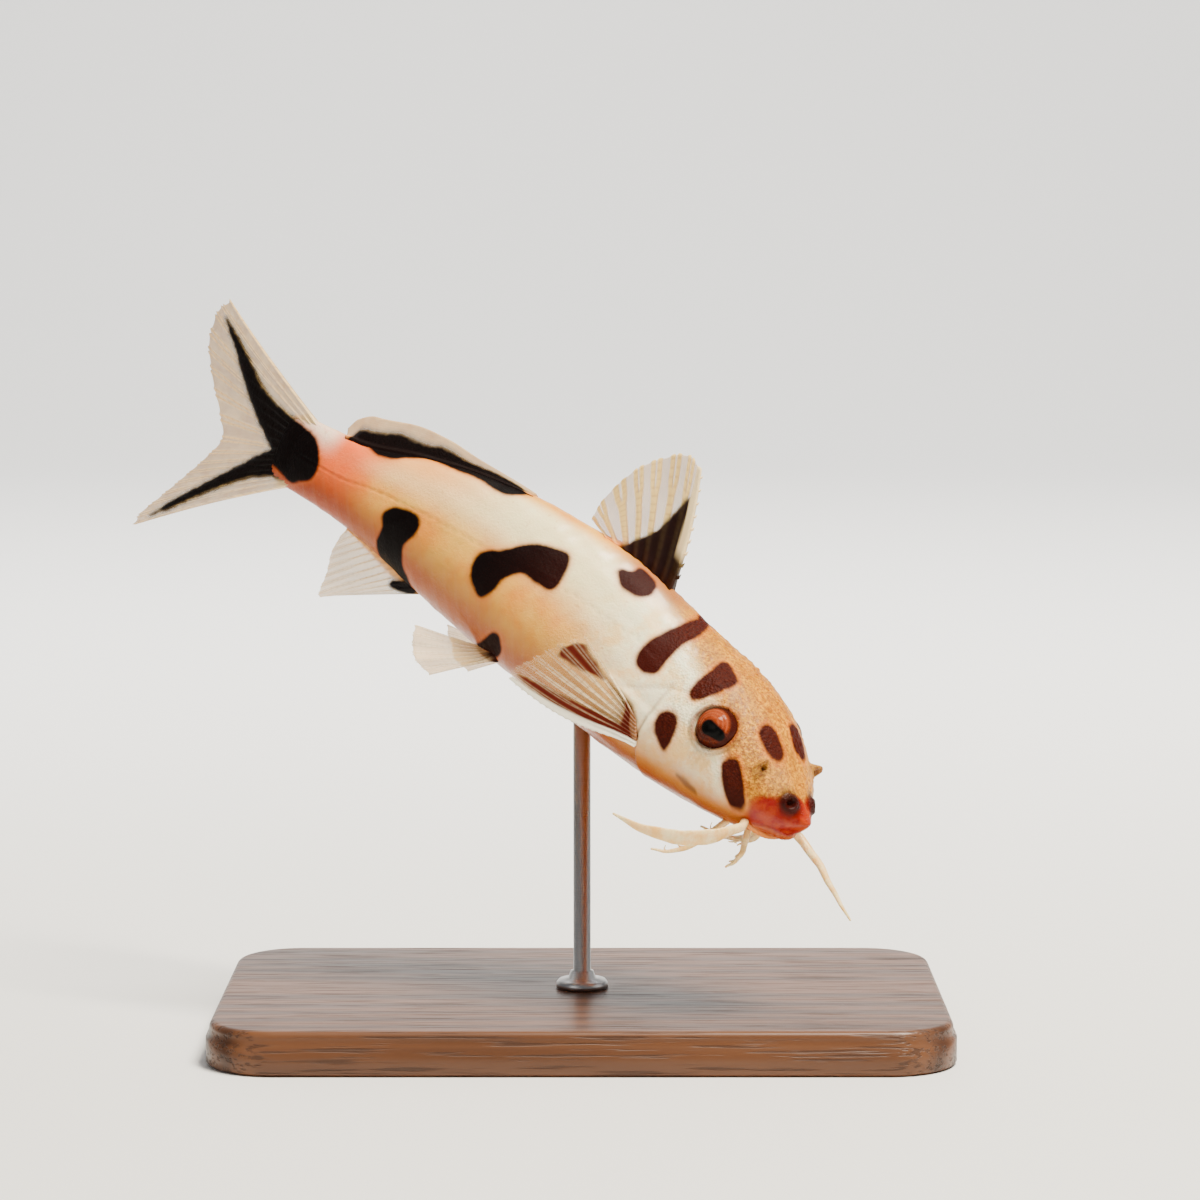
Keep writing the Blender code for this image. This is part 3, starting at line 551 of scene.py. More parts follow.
    def muscle_blocks(self):
        """Shallow chevrons along the flank, whose points lie on its middle line."""
        middle = girth(self.rows, np.full(len(self.rows), math.radians(80)))[:, None]
        slant = 0.55 * np.abs(np.abs(self.arc) - middle)
        self.blocks = np.sin((self.spot[..., 0] + slant) * 2 * math.pi / BLOCK_PITCH)
        self.blocks *= ease(0.36, 0.5, self.back) * ease(1.0, 0.93, self.back)
        self.lift += 0.010 * self.blocks

    def markings(self):
        """The distance from the edges of the blotches, and masks of the other parts of the pattern, of the
        pale patches that are partly painted highlight, and of painted shadow at the pectoral fin's root.
        """
        stripe = np.concatenate([on_side(-1, BACK_STRIPE), on_side(1, BACK_STRIPE, 0.006)[::-1]])
        self.blotch = outline_distance(self.flat, stripe)
        for name, outline in BLOTCHES.items():
            for line in (on_side(-1, outline), on_side(1, outline, *LEFT_SHIFT[name])):
                self.blotch = np.minimum(self.blotch, outline_distance(self.flat, line))
        edge = curve(GOLD_EDGE, self.back)
        self.gilt = (1 - ease(edge - 9, edge + 9, self.degrees)) * (1 - ease(0.30, 0.42, self.back))
        # Pale patches on the cheeks and shoulders: partly pale skin, partly painted highlight
        self.pale = ((1 - self.gilt) * (1 - ease(80, 122, self.degrees))
                     * (1 - ease(0.30, 0.50, self.back)) * ease(0.05, 0.09, self.back))
        # Painted shadow at the pectoral fin's root and a dark streak low on the head darken the same mark as
        # the nostril smudges
        for hand in (-1, 1):
            for streak, weight in ((PECTORAL_ROOT_SHADOW, 0.95), (GILL_STREAK, 0.65)):
                gap = streak_distance(self.flat, on_side(hand, streak), np.array(streak)[:, 2])
                self.stain += weight * (1 - ease(-0.25, 0.35, gap))

    def piece(self, finish):
        """Makes the lifted grid one closed mesh, which also holds what its finish reads at each point."""
        tip = place((SNOUT_TIP, 0, WIDEST[0][1]))
        end = place((FLESH_END + 0.002, 0, section(FLESH_END)[3]))
        points = with_poles(self.world + self.normal * self.lift[..., None] / 1000, tip, end)
        marks = {"blotch": (self.blotch, 3, -3), "aft": (self.back, 0, 1),
                 "low": (self.degrees / 180, 0.5, 0.5), "shield": (self.shield, 0.6, 0),
                 "red": (self.red, 1, 0), "gilt": (self.gilt, 1, 0), "pale": (self.pale, 0, 0),
                 "lips": (self.lips, 0, 0), "rim": (self.rim, 0, 0), "blocks": (self.blocks, 0, 0),
                 "shade": (np.clip(self.shade, 0, 1), 0, 0), "stain": (np.clip(self.stain, 0, 1), 0, 0)}
        marks = {label: with_poles(*values) for label, values in marks.items()}
        new_piece("fish_skin", points, tube_faces(len(self.rows), AROUND), marks, finish, "skin",
                  ("head", "trunk", "tail_stem"))


def skin_piece(finish):
    """Works out the skin with all its forms and markings, and makes it one piece."""
    grid = SkinGrid()
    grid.gill_cover()
    for hand in (-1, 1):
        grid.shoulder(hand)
    grid.mouth()
    for (back, turn), size, rim_height, flap in ((REAR_NOSTRIL, 1.0, 0.25, 1.15),
                                                 (FRONT_NOSTRIL, 1.3, 0.42, 0.0)):
        for hand in (-1, 1):
            grid.nostril(skin(back, hand * math.radians(turn)) * MM, size, rim_height, flap)
    for hand in (-1, 1):
        grid.eye_socket(hand)
    grid.bony_shield()
    grid.muscle_blocks()
    grid.markings()
    grid.piece(finish)


def ray_pattern(u, v, rays, branch, spine, broad):
    """Height of the rays from 0 to 1 at (u, v): ridges at even steps of u, which fork past branch."""
    phase = u * (rays - 1)
    gap = np.abs(phase - np.round(phase))
    single = np.clip(1 - (gap / (0.17 * broad)) ** 2, 0, 1)
    forked = np.clip(1 - ((gap - 0.16) / (0.10 * broad)) ** 2, 0, 1)
    fork = ease(branch - 0.12, branch + 0.10, v) * (np.round(phase) > 0.5)
    pattern = single * (1 - fork) + forked * fork
    return np.maximum(pattern, np.clip(1 - (phase / 0.42) ** 2, 0, 1)) if spine else pattern


def sheet_faces(rows, columns):
    """Faces of a closed thin sheet: a grid, the same grid turned over, and walls round their rims."""
    grid = np.arange(rows * columns).reshape(rows, columns)
    a, b, c, d = grid[:-1, :-1], grid[:-1, 1:], grid[1:, 1:], grid[1:, :-1]
    rim = np.concatenate([grid[0], grid[1:, -1], grid[-1, -2::-1], grid[-2:0:-1, 0]])
    near = np.roll(rim, -1)
    sides = (np.stack([a, b, c, d], -1), np.stack([a, d, c, b], -1) + grid.size,
             np.stack([rim, rim + grid.size, near + grid.size, near], -1))
    return np.concatenate([side.reshape(-1, 4) for side in sides]).tolist()


def joined(parts):
    """One list each of points, faces and marks, from parts of (points, faces, marks)."""
    faces, start = [], 0
    for points, part, _ in parts:
        faces += [tuple(k + start for k in face) for face in part]
        start += len(points)
    marks = {label: np.concatenate([part[2][label] for part in parts]) for label in parts[0][2]}
    return np.concatenate([part[0] for part in parts]), faces, marks


def spine_teeth(root, tip, bow, outwards, count, barb):
    """Points and faces of the barbs of a fin's spine, which lean to its tip, and each one's place."""
    outwards = np.array(outwards, float)
    outwards /= np.linalg.norm(outwards)
    ahead = (tip - root) / np.linalg.norm(tip - root)
    for at in np.linspace(0.10, 0.93, count):
        foot = root + (tip - root) * at + np.array(bow) * math.sin(math.pi * at)
        reach = barb * (1 - 0.5 * at)
        path = np.array([foot - outwards * 0.004, foot + outwards * reach * 0.5,
                         foot + outwards * reach + ahead * reach])
        yield *rod_rings(path, np.array([0.34, 0.22, 0.05]) * (1 - 0.45 * at), 6), at


def fin_piece(name, roots, tips, rays, finish, slot, marks, thick=(0.42, 0.13), ridge=0.26, spine=0.0,
              spine_width=0.55, sink=0.08, branch=0.5, broad=1.0, flare=0.5, ripple=0.2, bow=(0, 0, 0),
              rows=54, teeth=None, barb=0.0, raylike=True):
    """A fin as a closed thin sheet over (u, v), u from its front ray to its last, v from root to tip.

    The middle surface is root + (tip - root) * v, rippled across by sines; the two faces stand off
    it by half the membrane's thickness, the rays' ridges, and a flare of flesh at the root. Spine is
    the extra thickness of the first ray in mm, and teeth the outward direction and count of its barbs.
    Marks gives the signed distance in mm from the dark marks at u, v and a body place in mm."""
    u = np.linspace(0, 1, (rays - 1) * RAY_STEPS + 1)
    v = np.concatenate([np.linspace(-sink, 0, 5)[:-1], np.linspace(0, 1, rows)])
    root, tip = roots(u), tips(u)
    uu, vv = np.meshgrid(u, v)
    fade = np.clip(vv, 0, 1)
    pattern = ray_pattern(uu, fade, rays, branch, spine > 0, broad) if raylike else 0 * uu
    stretch = vv * (1 - 0.022 * (1 - pattern) * ease(0.8, 1.0, vv) * raylike)
    flat = root[None] + (tip - root)[None] * stretch[..., None]
    flat = flat + (np.sin(math.pi * fade) * (1 - uu) ** 2)[..., None] * bow
    middle = place(flat)
    facing = np.cross(np.gradient(middle, axis=0), np.gradient(middle, axis=1))
    facing /= np.linalg.norm(facing, axis=-1, keepdims=True)
    wave = ripple * fade * (np.sin(uu * 9.0 + vv * 2.2) + 0.5 * np.sin(uu * 17.0 - vv * 3.0 + 1.0))
    middle = middle + facing * wave[..., None] / 1000
    front = np.clip(1 - (uu * (rays - 1) / (spine_width - (spine_width - 0.5) * fade)) ** 2, 0, 1)
    depth = thick[0] + (thick[1] - thick[0]) * fade + flare * bell(np.maximum(vv, 0), 0.07)
    depth = depth + (ridge * pattern + spine * front) * (1 - 0.8 * fade)
    depth = depth * np.sqrt(1 - 0.8 * ease(0.97, 1.0, vv)) / 1000
    points = np.stack([middle + facing * depth[..., None] * side for side in (0.5, -0.5)])
    front = front * (spine > 0)
    blotch = marks(uu, vv, flat * MM)
    layers = {"ray": np.maximum(pattern, front), "along": vv, "blotch": blotch,
              "spine": ease(0.0, 0.35, front)}
    parts = [(points.reshape(-1, 3), sheet_faces(*uu.shape),
              {label: np.tile(values.ravel(), 2) for label, values in layers.items()})]
    if teeth:
        for tooth, faces, at in spine_teeth(root[0], tip[0], bow, *teeth, barb):
            here = {"ray": 1, "along": at, "blotch": np.interp(at, v, blotch[:, 0]), "spine": 1}
            parts.append((tooth, faces, {label: np.full(len(tooth), here[label]) for label in here}))
    new_piece(name + "_sheet", *joined(parts), finish, slot, (name,))


def rod_rings(path, radius, sides, tall=None):
    """Points and faces of a tapered rod along body places, with a radius in mm at each, closed at its
    ends. Its section is an ellipse of that half width, and of half height tall where that is given."""
    tall = radius if tall is None else tall
    middle = place(path)
    ahead = np.gradient(middle, axis=0)
    ahead /= np.linalg.norm(ahead, axis=1, keepdims=True)
    level = AXES[:, 2] if abs(ahead[0] @ AXES[:, 2]) < 0.9 else AXES[:, 0]
    upward = level - ahead * (ahead @ level)[:, None]
    upward /= np.linalg.norm(upward, axis=1, keepdims=True)
    across = np.cross(ahead, upward)
    turn = np.arange(sides) / sides * 2 * math.pi
    size, high = radius[:, None, None] / 1000, tall[:, None, None] / 1000
    rings = (middle[:, None] + across[:, None] * np.cos(turn)[None, :, None] * size
             + upward[:, None] * np.sin(turn)[None, :, None] * high)
    points = with_poles(rings, middle[0], middle[-1] + ahead[-1] * size[-1, 0] * 0.6)
    return points, tube_faces(len(path), sides)


def barbel_piece(name, stops, radius, finish, tall=None, branches=()):
    """A feeler: a rod along a smooth path through stops in mm, with tapering branches that curl.

    Radius is (number along it, mm). Each branch is (number, back, left, up in mm from there)."""
    table = np.column_stack([np.linspace(0, 1, len(stops)), np.array(stops) / MM])
    t = np.linspace(0, 1, 90)
    wobble = 0.0005 * np.stack([np.sin(t * 21), np.cos(t * 17), np.sin(t * 26 + 1)], -1)
    path = between(table, t) + wobble * (ease(0.1, 0.4, t) * (1 - ease(0.85, 1, t)))[:, None]
    wide = curve(radius, t) * (1 + 0.03 * np.sin(t * 150))
    high = curve(tall or radius, t) * (1 + 0.02 * np.sin(t * 60))
    along = with_poles(np.repeat(t, 20), 0, 1)
    parts = [(*rod_rings(path, wide, 20, high), {"along": along})]
    for at, *reach in branches:
        s = np.linspace(0, 1, 22)[:, None]
        twig = between(table, np.array([at])) + np.array(reach) / MM * s
        twig = twig + np.array((0.004, 0, -0.005)) * np.sin(s * math.pi)
        points, faces = rod_rings(twig, curve(radius, at) * (0.55 - 0.36 * s[:, 0]), 10)
        parts.append((points, faces, {"along": np.full(len(points), at)}))
    new_piece(name + "_feeler", *joined(parts), finish, "barbel", (name,))


def eye_piece(name, side, finish):
    """An eyeball: a ball whose front bulges as a clear window, with marks for its iris and pupil.

    Its profile is turned about the axis out of the head; radius = R * (1 + bulge * bell(angle))."""
    centre, out = eye_place(side)
    ahead = AXES[:, 0] - out * (AXES[:, 0] @ out)
    ahead /= np.linalg.norm(ahead)
    upward = np.cross(ahead, out) * -side
    upward *= np.sign(upward @ AXES[:, 2])
    rows, columns = 72, 96
    angle = np.linspace(0, math.pi, rows + 2)[1:-1, None]
    turn = (np.arange(columns) / columns * 2 * math.pi)[None]
    radius = EYE_RADIUS * (1 - 0.015 + 0.015 * bell(angle, 0.5) - 0.02 * bell(angle - 0.62, 0.09))
    x, y = np.sin(angle) * np.cos(turn), np.sin(angle) * np.sin(turn)
    z = np.cos(angle) + 0 * turn
    ball = centre + (x[..., None] * ahead + y[..., None] * upward + z[..., None] * out) * radius[..., None]
    points = with_poles(ball, centre + out * EYE_RADIUS, centre - out * EYE_RADIUS * 0.985)
    pupil = streak_distance(np.stack([x, y], -1) * EYE_RADIUS * 1000,
                            np.array(((0.15, -0.38), (1.45, -0.26))), (0.84, 0.66))
    marks = {"pupil": with_poles(np.where(z > 0, pupil, 3), -0.5, 3),
             "outwards": with_poles(np.degrees(angle) / 90 + 0 * turn, 0, 2),
             "upper": with_poles(y, 0, 0), "round": with_poles(turn + 0 * angle, 0, 0)}
    new_piece(name + "_ball", points, tube_faces(rows, columns), marks, finish, "eye", (name,))


def lathe(profile, sides):
    """Points and faces of a solid turned about +Z, from a profile of (radius, height) in metres."""
    profile = np.array(profile)
    turn = np.arange(sides) / sides * 2 * math.pi
    rings = np.stack([profile[:, :1] * np.cos(turn), profile[:, :1] * np.sin(turn),
                      profile[:, 1:] + 0 * turn], -1)
    points = with_poles(rings, (0, 0, profile[0, 1]), (0, 0, profile[-1, 1]))
    return points, tube_faces(len(profile), sides)


def plate(box, corner, profile, sides=16):
    """Points and faces of a flat board in a box, with rounded corners and a moulded edge.

    Profile is (inset from the edge, height) in metres, carried round the rounded rectangle."""
    low, high = np.array(box[0]), np.array(box[1])
    middle, half = (low + high)[:2] / 2, (high - low)[:2] / 2
    rings = []
    for inset, height in profile:
        for k, way in enumerate(((1, 1), (-1, 1), (-1, -1), (1, -1))):
            angle = np.linspace(0, math.pi / 2, sides) + k * math.pi / 2
            edge = middle + (half - corner) * way + (corner - inset) * np.stack(
                [np.cos(angle), np.sin(angle)], -1)
            rings.append(np.column_stack([edge, np.full(sides, low[2] + height)]))
    rings = np.array(rings).reshape(len(profile), -1, 3)
    points = with_poles(rings, (*middle, rings[0, 0, 2]), (*middle, rings[-1, 0, 2]))
    return points, tube_faces(*rings.shape[:2])


def tint(red, green, blue):
    """A linear colour from the usual 0 to 255 display values."""
    return tuple((c / 12.92 if c <= 0.04045 else ((c + 0.055) / 1.055) ** 2.4)
                 for c in (red / 255, green / 255, blue / 255)) + (1.0,)


class Value:
    """One output of a shader node. The signs + - * and the methods add nodes that work on it."""

    def __init__(self, shading, socket):
        self.shading, self.socket = shading, socket

    def math(self, operation, a, b):
        return self.shading.value("ShaderNodeMath", {0: a, 1: b}, operation=operation)

    def __add__(self, other):
        return self.math("ADD", self, other)

    def __sub__(self, other):
        return self.math("SUBTRACT", self, other)

    def __rsub__(self, other):
        return self.math("SUBTRACT", other, self)

    def __mul__(self, other):
        return self.math("MULTIPLY", self, other)

    def over(self, other):
        """The greater of two values."""
        return self.math("MAXIMUM", self, other)

    def zigzag(self, number):
        """Rises to 1 and falls to 0 by turns, in all this number of times over one unit."""
        return self.math("PINGPONG", self * number, 1.0)

    def rise(self, low, high):
        """A mask that goes from 0 at low to 1 at high in a smooth S."""
        return self.shading.value("ShaderNodeMapRange", {0: self, 1: low, 2: high, 3: 0.0, 4: 1.0},
                                  interpolation_type="SMOOTHSTEP")

    def fall(self, low, high):
        """A mask that goes from 1 at low to 0 at high in a smooth S."""
        return 1.0 - self.rise(low, high)


class Shading:
    """A shader's node tree, with the few kinds of node that these finishes are made of."""

    def __init__(self, tree):
        self.tree = tree

    def put(self, kind, feeds=None, **settings):
        """Adds a node. Feeds gives its input sockets, by name or number, a constant or a Value."""
        node = self.tree.nodes.new(kind)
        for key, setting in settings.items():
            setattr(node, key, setting)
        for key, feed in (feeds or {}).items():
            if isinstance(feed, Value):
                self.tree.links.new(feed.socket, node.inputs[key])
            else:
                node.inputs[key].default_value = feed
        return node

    def value(self, kind, feeds=None, output=0, **settings):
        return Value(self, self.put(kind, feeds, **settings).outputs[output])

    def mark(self, label):
        """A point attribute of the piece."""
        return self.value("ShaderNodeAttribute", output="Fac", attribute_name=label)

    def where(self, **mapping):
        """Object coordinates, stretched or turned where a mapping is given."""
        place_of = self.value("ShaderNodeTexCoord", output="Object")
        return self.value("ShaderNodeMapping", {"Vector": place_of, **mapping}) if mapping else place_of

    def noise(self, scale, detail=3.0, rough=0.55, where=None, **settings):
        """Uneven values from 0 to 1."""
        return self.value("ShaderNodeTexNoise", {"Vector": where or self.where(), "Scale": scale,
                                                 "Detail": detail, "Roughness": rough}, "Fac", **settings)

    def mixed(self, factor, a, b):
        """Colour a where the factor is 0 and b where it is 1."""
        return self.value("ShaderNodeMix", {0: factor, 6: a, 7: b}, 2, data_type="RGBA")

    def painted(self, colour, *coats):
        """A colour under coats of paint, each a mask, how well it covers, and its colour."""
        for mask, cover, shade in coats:
            colour = self.mixed(mask * cover, colour, shade if isinstance(shade, Value) else tint(*shade))
        return colour

    def group(self, name, **feeds):
        """The outputs, by name, of a node group placed in this tree."""
        node = self.put("ShaderNodeGroup", feeds, node_tree=bpy.data.node_groups[name])
        return {socket.name: Value(self, socket) for socket in node.outputs}


class Finish(Shading):
    """A material with one Principled shader, whose constants are set on its own sockets."""

    def __init__(self, name, **constants):
        self.material = bpy.data.materials.new(name)
        self.material.use_nodes = True
        super().__init__(self.material.node_tree)
        self.tree.nodes.clear()
        self.shader = self.put("ShaderNodeBsdfPrincipled",
                               {label.replace("_", " "): value for label, value in constants.items()})
        self.put("ShaderNodeOutputMaterial", {0: Value(self, self.shader.outputs[0])})

    def dress(self, relief=None, depth=0.0, **looks):
        """Feeds the shader what changes over the surface, with a relief of a depth in metres."""
        if relief:
            looks["Normal"] = self.value("ShaderNodeBump", {"Height": relief, "Distance": depth})
        for label, look in looks.items():
            self.tree.links.new(look.socket, self.shader.inputs[label.replace("_", " ")])
        return self.material


class Effect(Shading):
    """A node group of number sockets, given as its name and the defaults of its inputs."""

    def __init__(self, name, **inputs):
        super().__init__(bpy.data.node_groups.new(name, "ShaderNodeTree"))
        for label, default in inputs.items():
            self.socket(label, "INPUT").default_value = default
        outputs = self.put("NodeGroupInput").outputs
        self.given = [Value(self, outputs[label]) for label in inputs]

    def socket(self, label, way):
        return self.tree.interface.new_socket(label, in_out=way, socket_type="NodeSocketFloat")

    def give(self, **outputs):
        for label in outputs:
            self.socket(label, "OUTPUT")
        self.put("NodeGroupOutput", outputs)


def blotch_group():
    """Dark blotches: from a signed distance in mm, a mask with an uneven edge, and a halo round it."""
    effect = Effect("blotch_edges", Distance=3.0, Softness=0.2, Wander=0.3, Grain=900.0)
    distance, soft, wander, grain = effect.given
    uneven = distance + (effect.noise(grain, 2.0) - 0.5) * wander
    inner = soft * -1.0
    effect.give(Mask=uneven.fall(inner, soft), Halo=uneven.fall(inner, soft + HALO_WIDTH))


def mottle_group():
    """Living unevenness: a broad cloud, a fine speckle and a pore pattern, each from 0 to 1."""
    effect = Effect("living_mottle", Broad=170.0, Fine=2600.0, Pores=3800.0)
    broad, fine, pores = effect.given
    where = effect.where()
    effect.give(Cloud=effect.noise(broad, 4.0, 0.6, where).rise(0.30, 0.70),
                Speckle=effect.noise(fine, 3.0, 0.7, where).rise(0.35, 0.68),
                Pore=effect.value("ShaderNodeTexVoronoi", {"Vector": where, "Scale": pores}, "Distance"))


def skin_finish(look):
    """Moist skin: cream and peach, golden over the bony head, pink on the tail stem, red round the mouth,
    with dark red-brown blotches that turn black towards the tail. A painted highlight lightens the upper
    flank, the top of the tail stem and in part the pale patches; painted shade darkens the belly to
    orange, the ridge of the back, creases and pits, and the pectoral fin's root.

    Aft is 0 at the snout and 1 at the tail fin's root; low is 0 on the back and 1 under the belly."""
    finish = Finish("skin_finish", Coat_Roughness=0.24, Coat_IOR=1.45, Subsurface_Weight=0.12,
                    Subsurface_Radius=(1.0, 0.30, 0.12), Subsurface_Scale=0.0008, Specular_IOR_Level=0.08)
    aft, low, shield, gilt, red = map(finish.mark, ("aft", "low", "shield", "gilt", "red"))
    mottle = finish.group("living_mottle")
    blotches = finish.group("blotch_edges", Distance=finish.mark("blotch"), Softness=look.edge_softness)
    cream, peach, blotch, tail_black = ((*colour, 1) for colour in (
        look.cream, look.peach, look.blotch, look.tail_black))

    golden = finish.painted(finish.mixed(mottle["Speckle"], tint(146, 76, 3), tint(228, 156, 20)),
                            (finish.noise(520.0, 4.0, 0.7).rise(0.42, 0.64), 0.45, (122, 66, 5)))
    pale_skin_and_highlight = finish.painted(tint(255, 250, 214),
                           (finish.noise(330.0, 4.0, 0.6).rise(0.40, 0.66), 0.75, (252, 198, 112)))
    blood = finish.mixed(finish.noise(420.0, 4.0, 0.6).rise(0.34, 0.58), tint(160, 48, 5), tint(134, 5, 0))
    ragged = (red + (finish.noise(800.0, 4.0, 0.6) - 0.5) * 1.1).rise(0.15, 0.75) * red
    dark = finish.painted(finish.mixed(aft.rise(0.30, 0.66), blotch, tail_black),
                          (mottle["Speckle"] * shield, 0.22, (104, 36, 12)))
    upper = low.fall(0.18, 0.46)
    colour = finish.painted(
        finish.mixed(mottle["Cloud"] * 0.6, peach, cream),
        (low.rise(0.04, 0.16) * low.fall(0.26, 0.44), 0.80, (255, 247, 196)),  # sunlit upper flank
        (aft.rise(0.60, 0.78) * upper, 0.75, (250, 150, 36)),  # yellow under the adipose fin
        (aft.rise(0.80, 0.90), 0.88, (244, 92, 36)),  # pink tail stem
        # Painted highlight on the top of the tail stem
        (aft.rise(0.91, 0.955) * upper, 0.80, (255, 238, 214)),  # its white upper end
        # The pale patches are partly pale skin and partly painted highlight
        (finish.mark("pale"), 0.88, pale_skin_and_highlight),  # cheeks and shoulders
        (gilt, 0.92, golden),  # forehead
        # Painted shade: the belly darker orange
        (low.rise(0.46, 0.74), 0.90, (146, 54, 5)),  # belly
        (finish.mark("blocks").rise(0.2, 1.0), 0.05, (214, 150, 100)),  # muscle blocks
        # Painted shade along the ridge of the back
        (low.fall(0.0, 0.13) * (1.0 - gilt), 0.45, (206, 136, 34)),  # ridge of the back
        (finish.noise(1500.0, 2.0).rise(0.62, 0.74), 0.22, (196, 124, 66)),  # fine flecks
        (finish.mark("lips"), 0.85, (226, 136, 60)),
        (ragged, 1.0, blood),
        (finish.mark("rim"), 0.75, (120, 40, 16)),
        (finish.mark("shade"), 0.75, (104, 42, 16)),
        # Dark smudges at the nostrils, and painted shadow at the pectoral fin's root
        (finish.mark("stain"), 0.95, (38, 5, 2)),
        (low.fall(0.07, 0.20) * aft.rise(0.31, 0.37) * aft.fall(0.42, 0.50), 0.80, (148, 76, 1)),  # nape
        (blotches["Halo"], 0.55, (206, 98, 34)),
        (blotches["Mask"], 1.0, dark))
    return finish.dress(
        mottle["Pore"] * (shield * 0.9 + 0.18) + mottle["Speckle"] * 0.25, 0.00009, Base_Color=colour,
        Roughness=mottle["Speckle"].over(blotches["Mask"]) * 0.2 + look.roughness,
        Coat_Weight=(1.0 - blotches["Mask"]) * (0.6 - gilt * 0.52))


def fin_finish(name, membrane, ray, clear=0.42, base=(224, 150, 84), dark=(40, 12, 8), rays_dark=0.0,
               soft=0.25, spine=(248, 236, 208), dense=0.75, fading=0.0, spine_from=-1.0):
    """A thin fin: see-through membrane between denser jointed rays, with dark marks and a fleshy root.

    Clear and dense are how solid the membrane and the rays are, and fading is how much of dense is
    lost at the tips. Rays_dark is how far the rays stay light in the dark marks; spine_from is how
    far along the spine its pale colour begins."""
    finish = Finish(name, Specular_IOR_Level=0.1, Roughness=0.5)
    rays, along, spines = map(finish.mark, ("ray", "along", "spine"))
    mottle = finish.group("living_mottle", Broad=380.0)
    blotches = finish.group("blotch_edges", Distance=finish.mark("blotch"), Softness=soft, Wander=0.5)
    mask, joints = blotches["Mask"], along.zigzag(RAY_JOINTS)
    film = finish.painted(tint(*membrane), (mottle["Cloud"], 0.5, (250, 216, 150)))
    bone = finish.painted(tint(*ray), (joints.rise(0.6, 1.0), 0.35, (170, 104, 52)))
    colour = finish.painted(
        film,
        (rays.rise(0.1, 0.7), 1.0, bone),
        (along.fall(0.0, 0.22), 0.75, base),
        ((1.0 - rays * rays_dark) * mask, 1.0, dark),
        (spines * along.rise(spine_from, spine_from + 0.14), 1.0, spine))
    solid = (rays.rise(0.1, 0.8) * (dense - along.rise(0.5, 1.0) * fading)).over(clear).over(mask * 0.97)
    solid = solid.over(along.fall(0.02, 0.20)).over(spines)
    return finish.dress(mottle["Speckle"] * 0.5 + joints * 0.3, 0.00004, Base_Color=colour, Alpha=solid)


def barbel_finish(look):
    """Feelers: pale cream flesh with a warmer root and fine rings."""
    finish = Finish("barbel_finish", Coat_Weight=0.3, Coat_Roughness=0.15, Roughness=0.4,
                    Subsurface_Weight=0.2, Subsurface_Radius=(1.0, 0.45, 0.25), Subsurface_Scale=0.0008)
    along, mottle = finish.mark("along"), finish.group("living_mottle", Broad=600.0)
    colour = finish.painted((*look.barbel, 1), (mottle["Cloud"], 1.0, (252, 226, 168)),
                            (along.fall(0.0, 0.30), 0.6, (238, 182, 128)))
    return finish.dress(along.zigzag(FEELER_RINGS) + mottle["Speckle"], 0.00003, Base_Color=colour)


def eye_finish():
    """A wet eye: black long pupil, red-brown iris with fine spokes, a lighter upper part that is partly its
    own colour and partly a painted reflection, and a dark edge.
    """
    finish = Finish("eye_finish", Roughness=0.35, Coat_Weight=0.3, Coat_Roughness=0.03, Coat_IOR=1.25,
                    Specular_IOR_Level=0.03)
    outwards, upper, pupil = map(finish.mark, ("outwards", "upper", "pupil"))
    around = finish.value("ShaderNodeCombineXYZ", {0: finish.mark("round") * 3.2, 1: outwards * 0.7})
    uneven = finish.noise(9.0, 4.0, 0.5, around, noise_dimensions="2D")
    spokes = uneven.rise(0.35, 0.65)
    colour = finish.painted(
        finish.mixed(spokes, tint(88, 22, 6), tint(150, 56, 20)),
        ((uneven * 0.10 + outwards).zigzag(IRIS_RINGS).rise(0.45, 0.95), 0.22, (206, 122, 84)),
        # Lighter upper part of the iris: partly its own colour, partly a painted reflection
        (upper.rise(0.0, 0.6), 0.35, (178, 84, 40)),
        (upper.fall(-0.6, -0.15), 0.75, (46, 10, 4)),
        (outwards.rise(0.50, 0.66), 1.0, (56, 14, 6)),
        (pupil.fall(0.02, 0.30), 0.8, (60, 18, 10)),
        (pupil.fall(-0.08, 0.08), 1.0, (1, 1, 1)))
    return finish.dress(spokes, 0.00002, Base_Color=colour)


def wood_finish():
    """Dark satin wood: long growth rings, pores along the grain and a worn sheen."""
    finish = Finish("wood_finish", Coat_Weight=0.12, Coat_Roughness=0.3, Specular_IOR_Level=0.25)
    long_way = finish.where(Scale=(14.0, 190.0, 190.0), Rotation=(0.25, 0.04, 0.03))
    bands = finish.value("ShaderNodeTexWave", {"Vector": long_way, "Scale": 0.45, "Distortion": 5.0,
                                               "Detail": 3.0, "Detail Scale": 1.2}, "Fac", wave_type="RINGS")
    pores = finish.noise(1.0, 2.0, 0.5, finish.where(Scale=(90.0, 2600.0, 2600.0))).rise(0.52, 0.66)
    colour = finish.painted(
        finish.mixed(bands, tint(74, 46, 30), tint(112, 72, 46)),
        (finish.noise(1.0, 5.0, 0.6, long_way), 0.5, (52, 30, 20)),
        (pores, 0.5, (30, 18, 12)))
    return finish.dress(1.0 - pores, 0.00006, Base_Color=colour, Roughness=pores * 0.2 + 0.36)


def steel_finish():
    """Fine brushed steel, turned on a lathe: narrow rings round the rod and faint smears."""
    finish = Finish("steel_finish", Metallic=1.0)
    brushed = finish.noise(1.0, 3.0, 0.6, finish.where(Scale=(300.0, 300.0, 26000.0)))
    smear = finish.noise(260.0, 3.0, 0.5)
    colour = finish.mixed(brushed, tint(178, 178, 180), tint(214, 213, 211))
    return finish.dress(brushed, 0.00001, Base_Color=colour, Roughness=(brushed + smear) * 0.16 + 0.16)


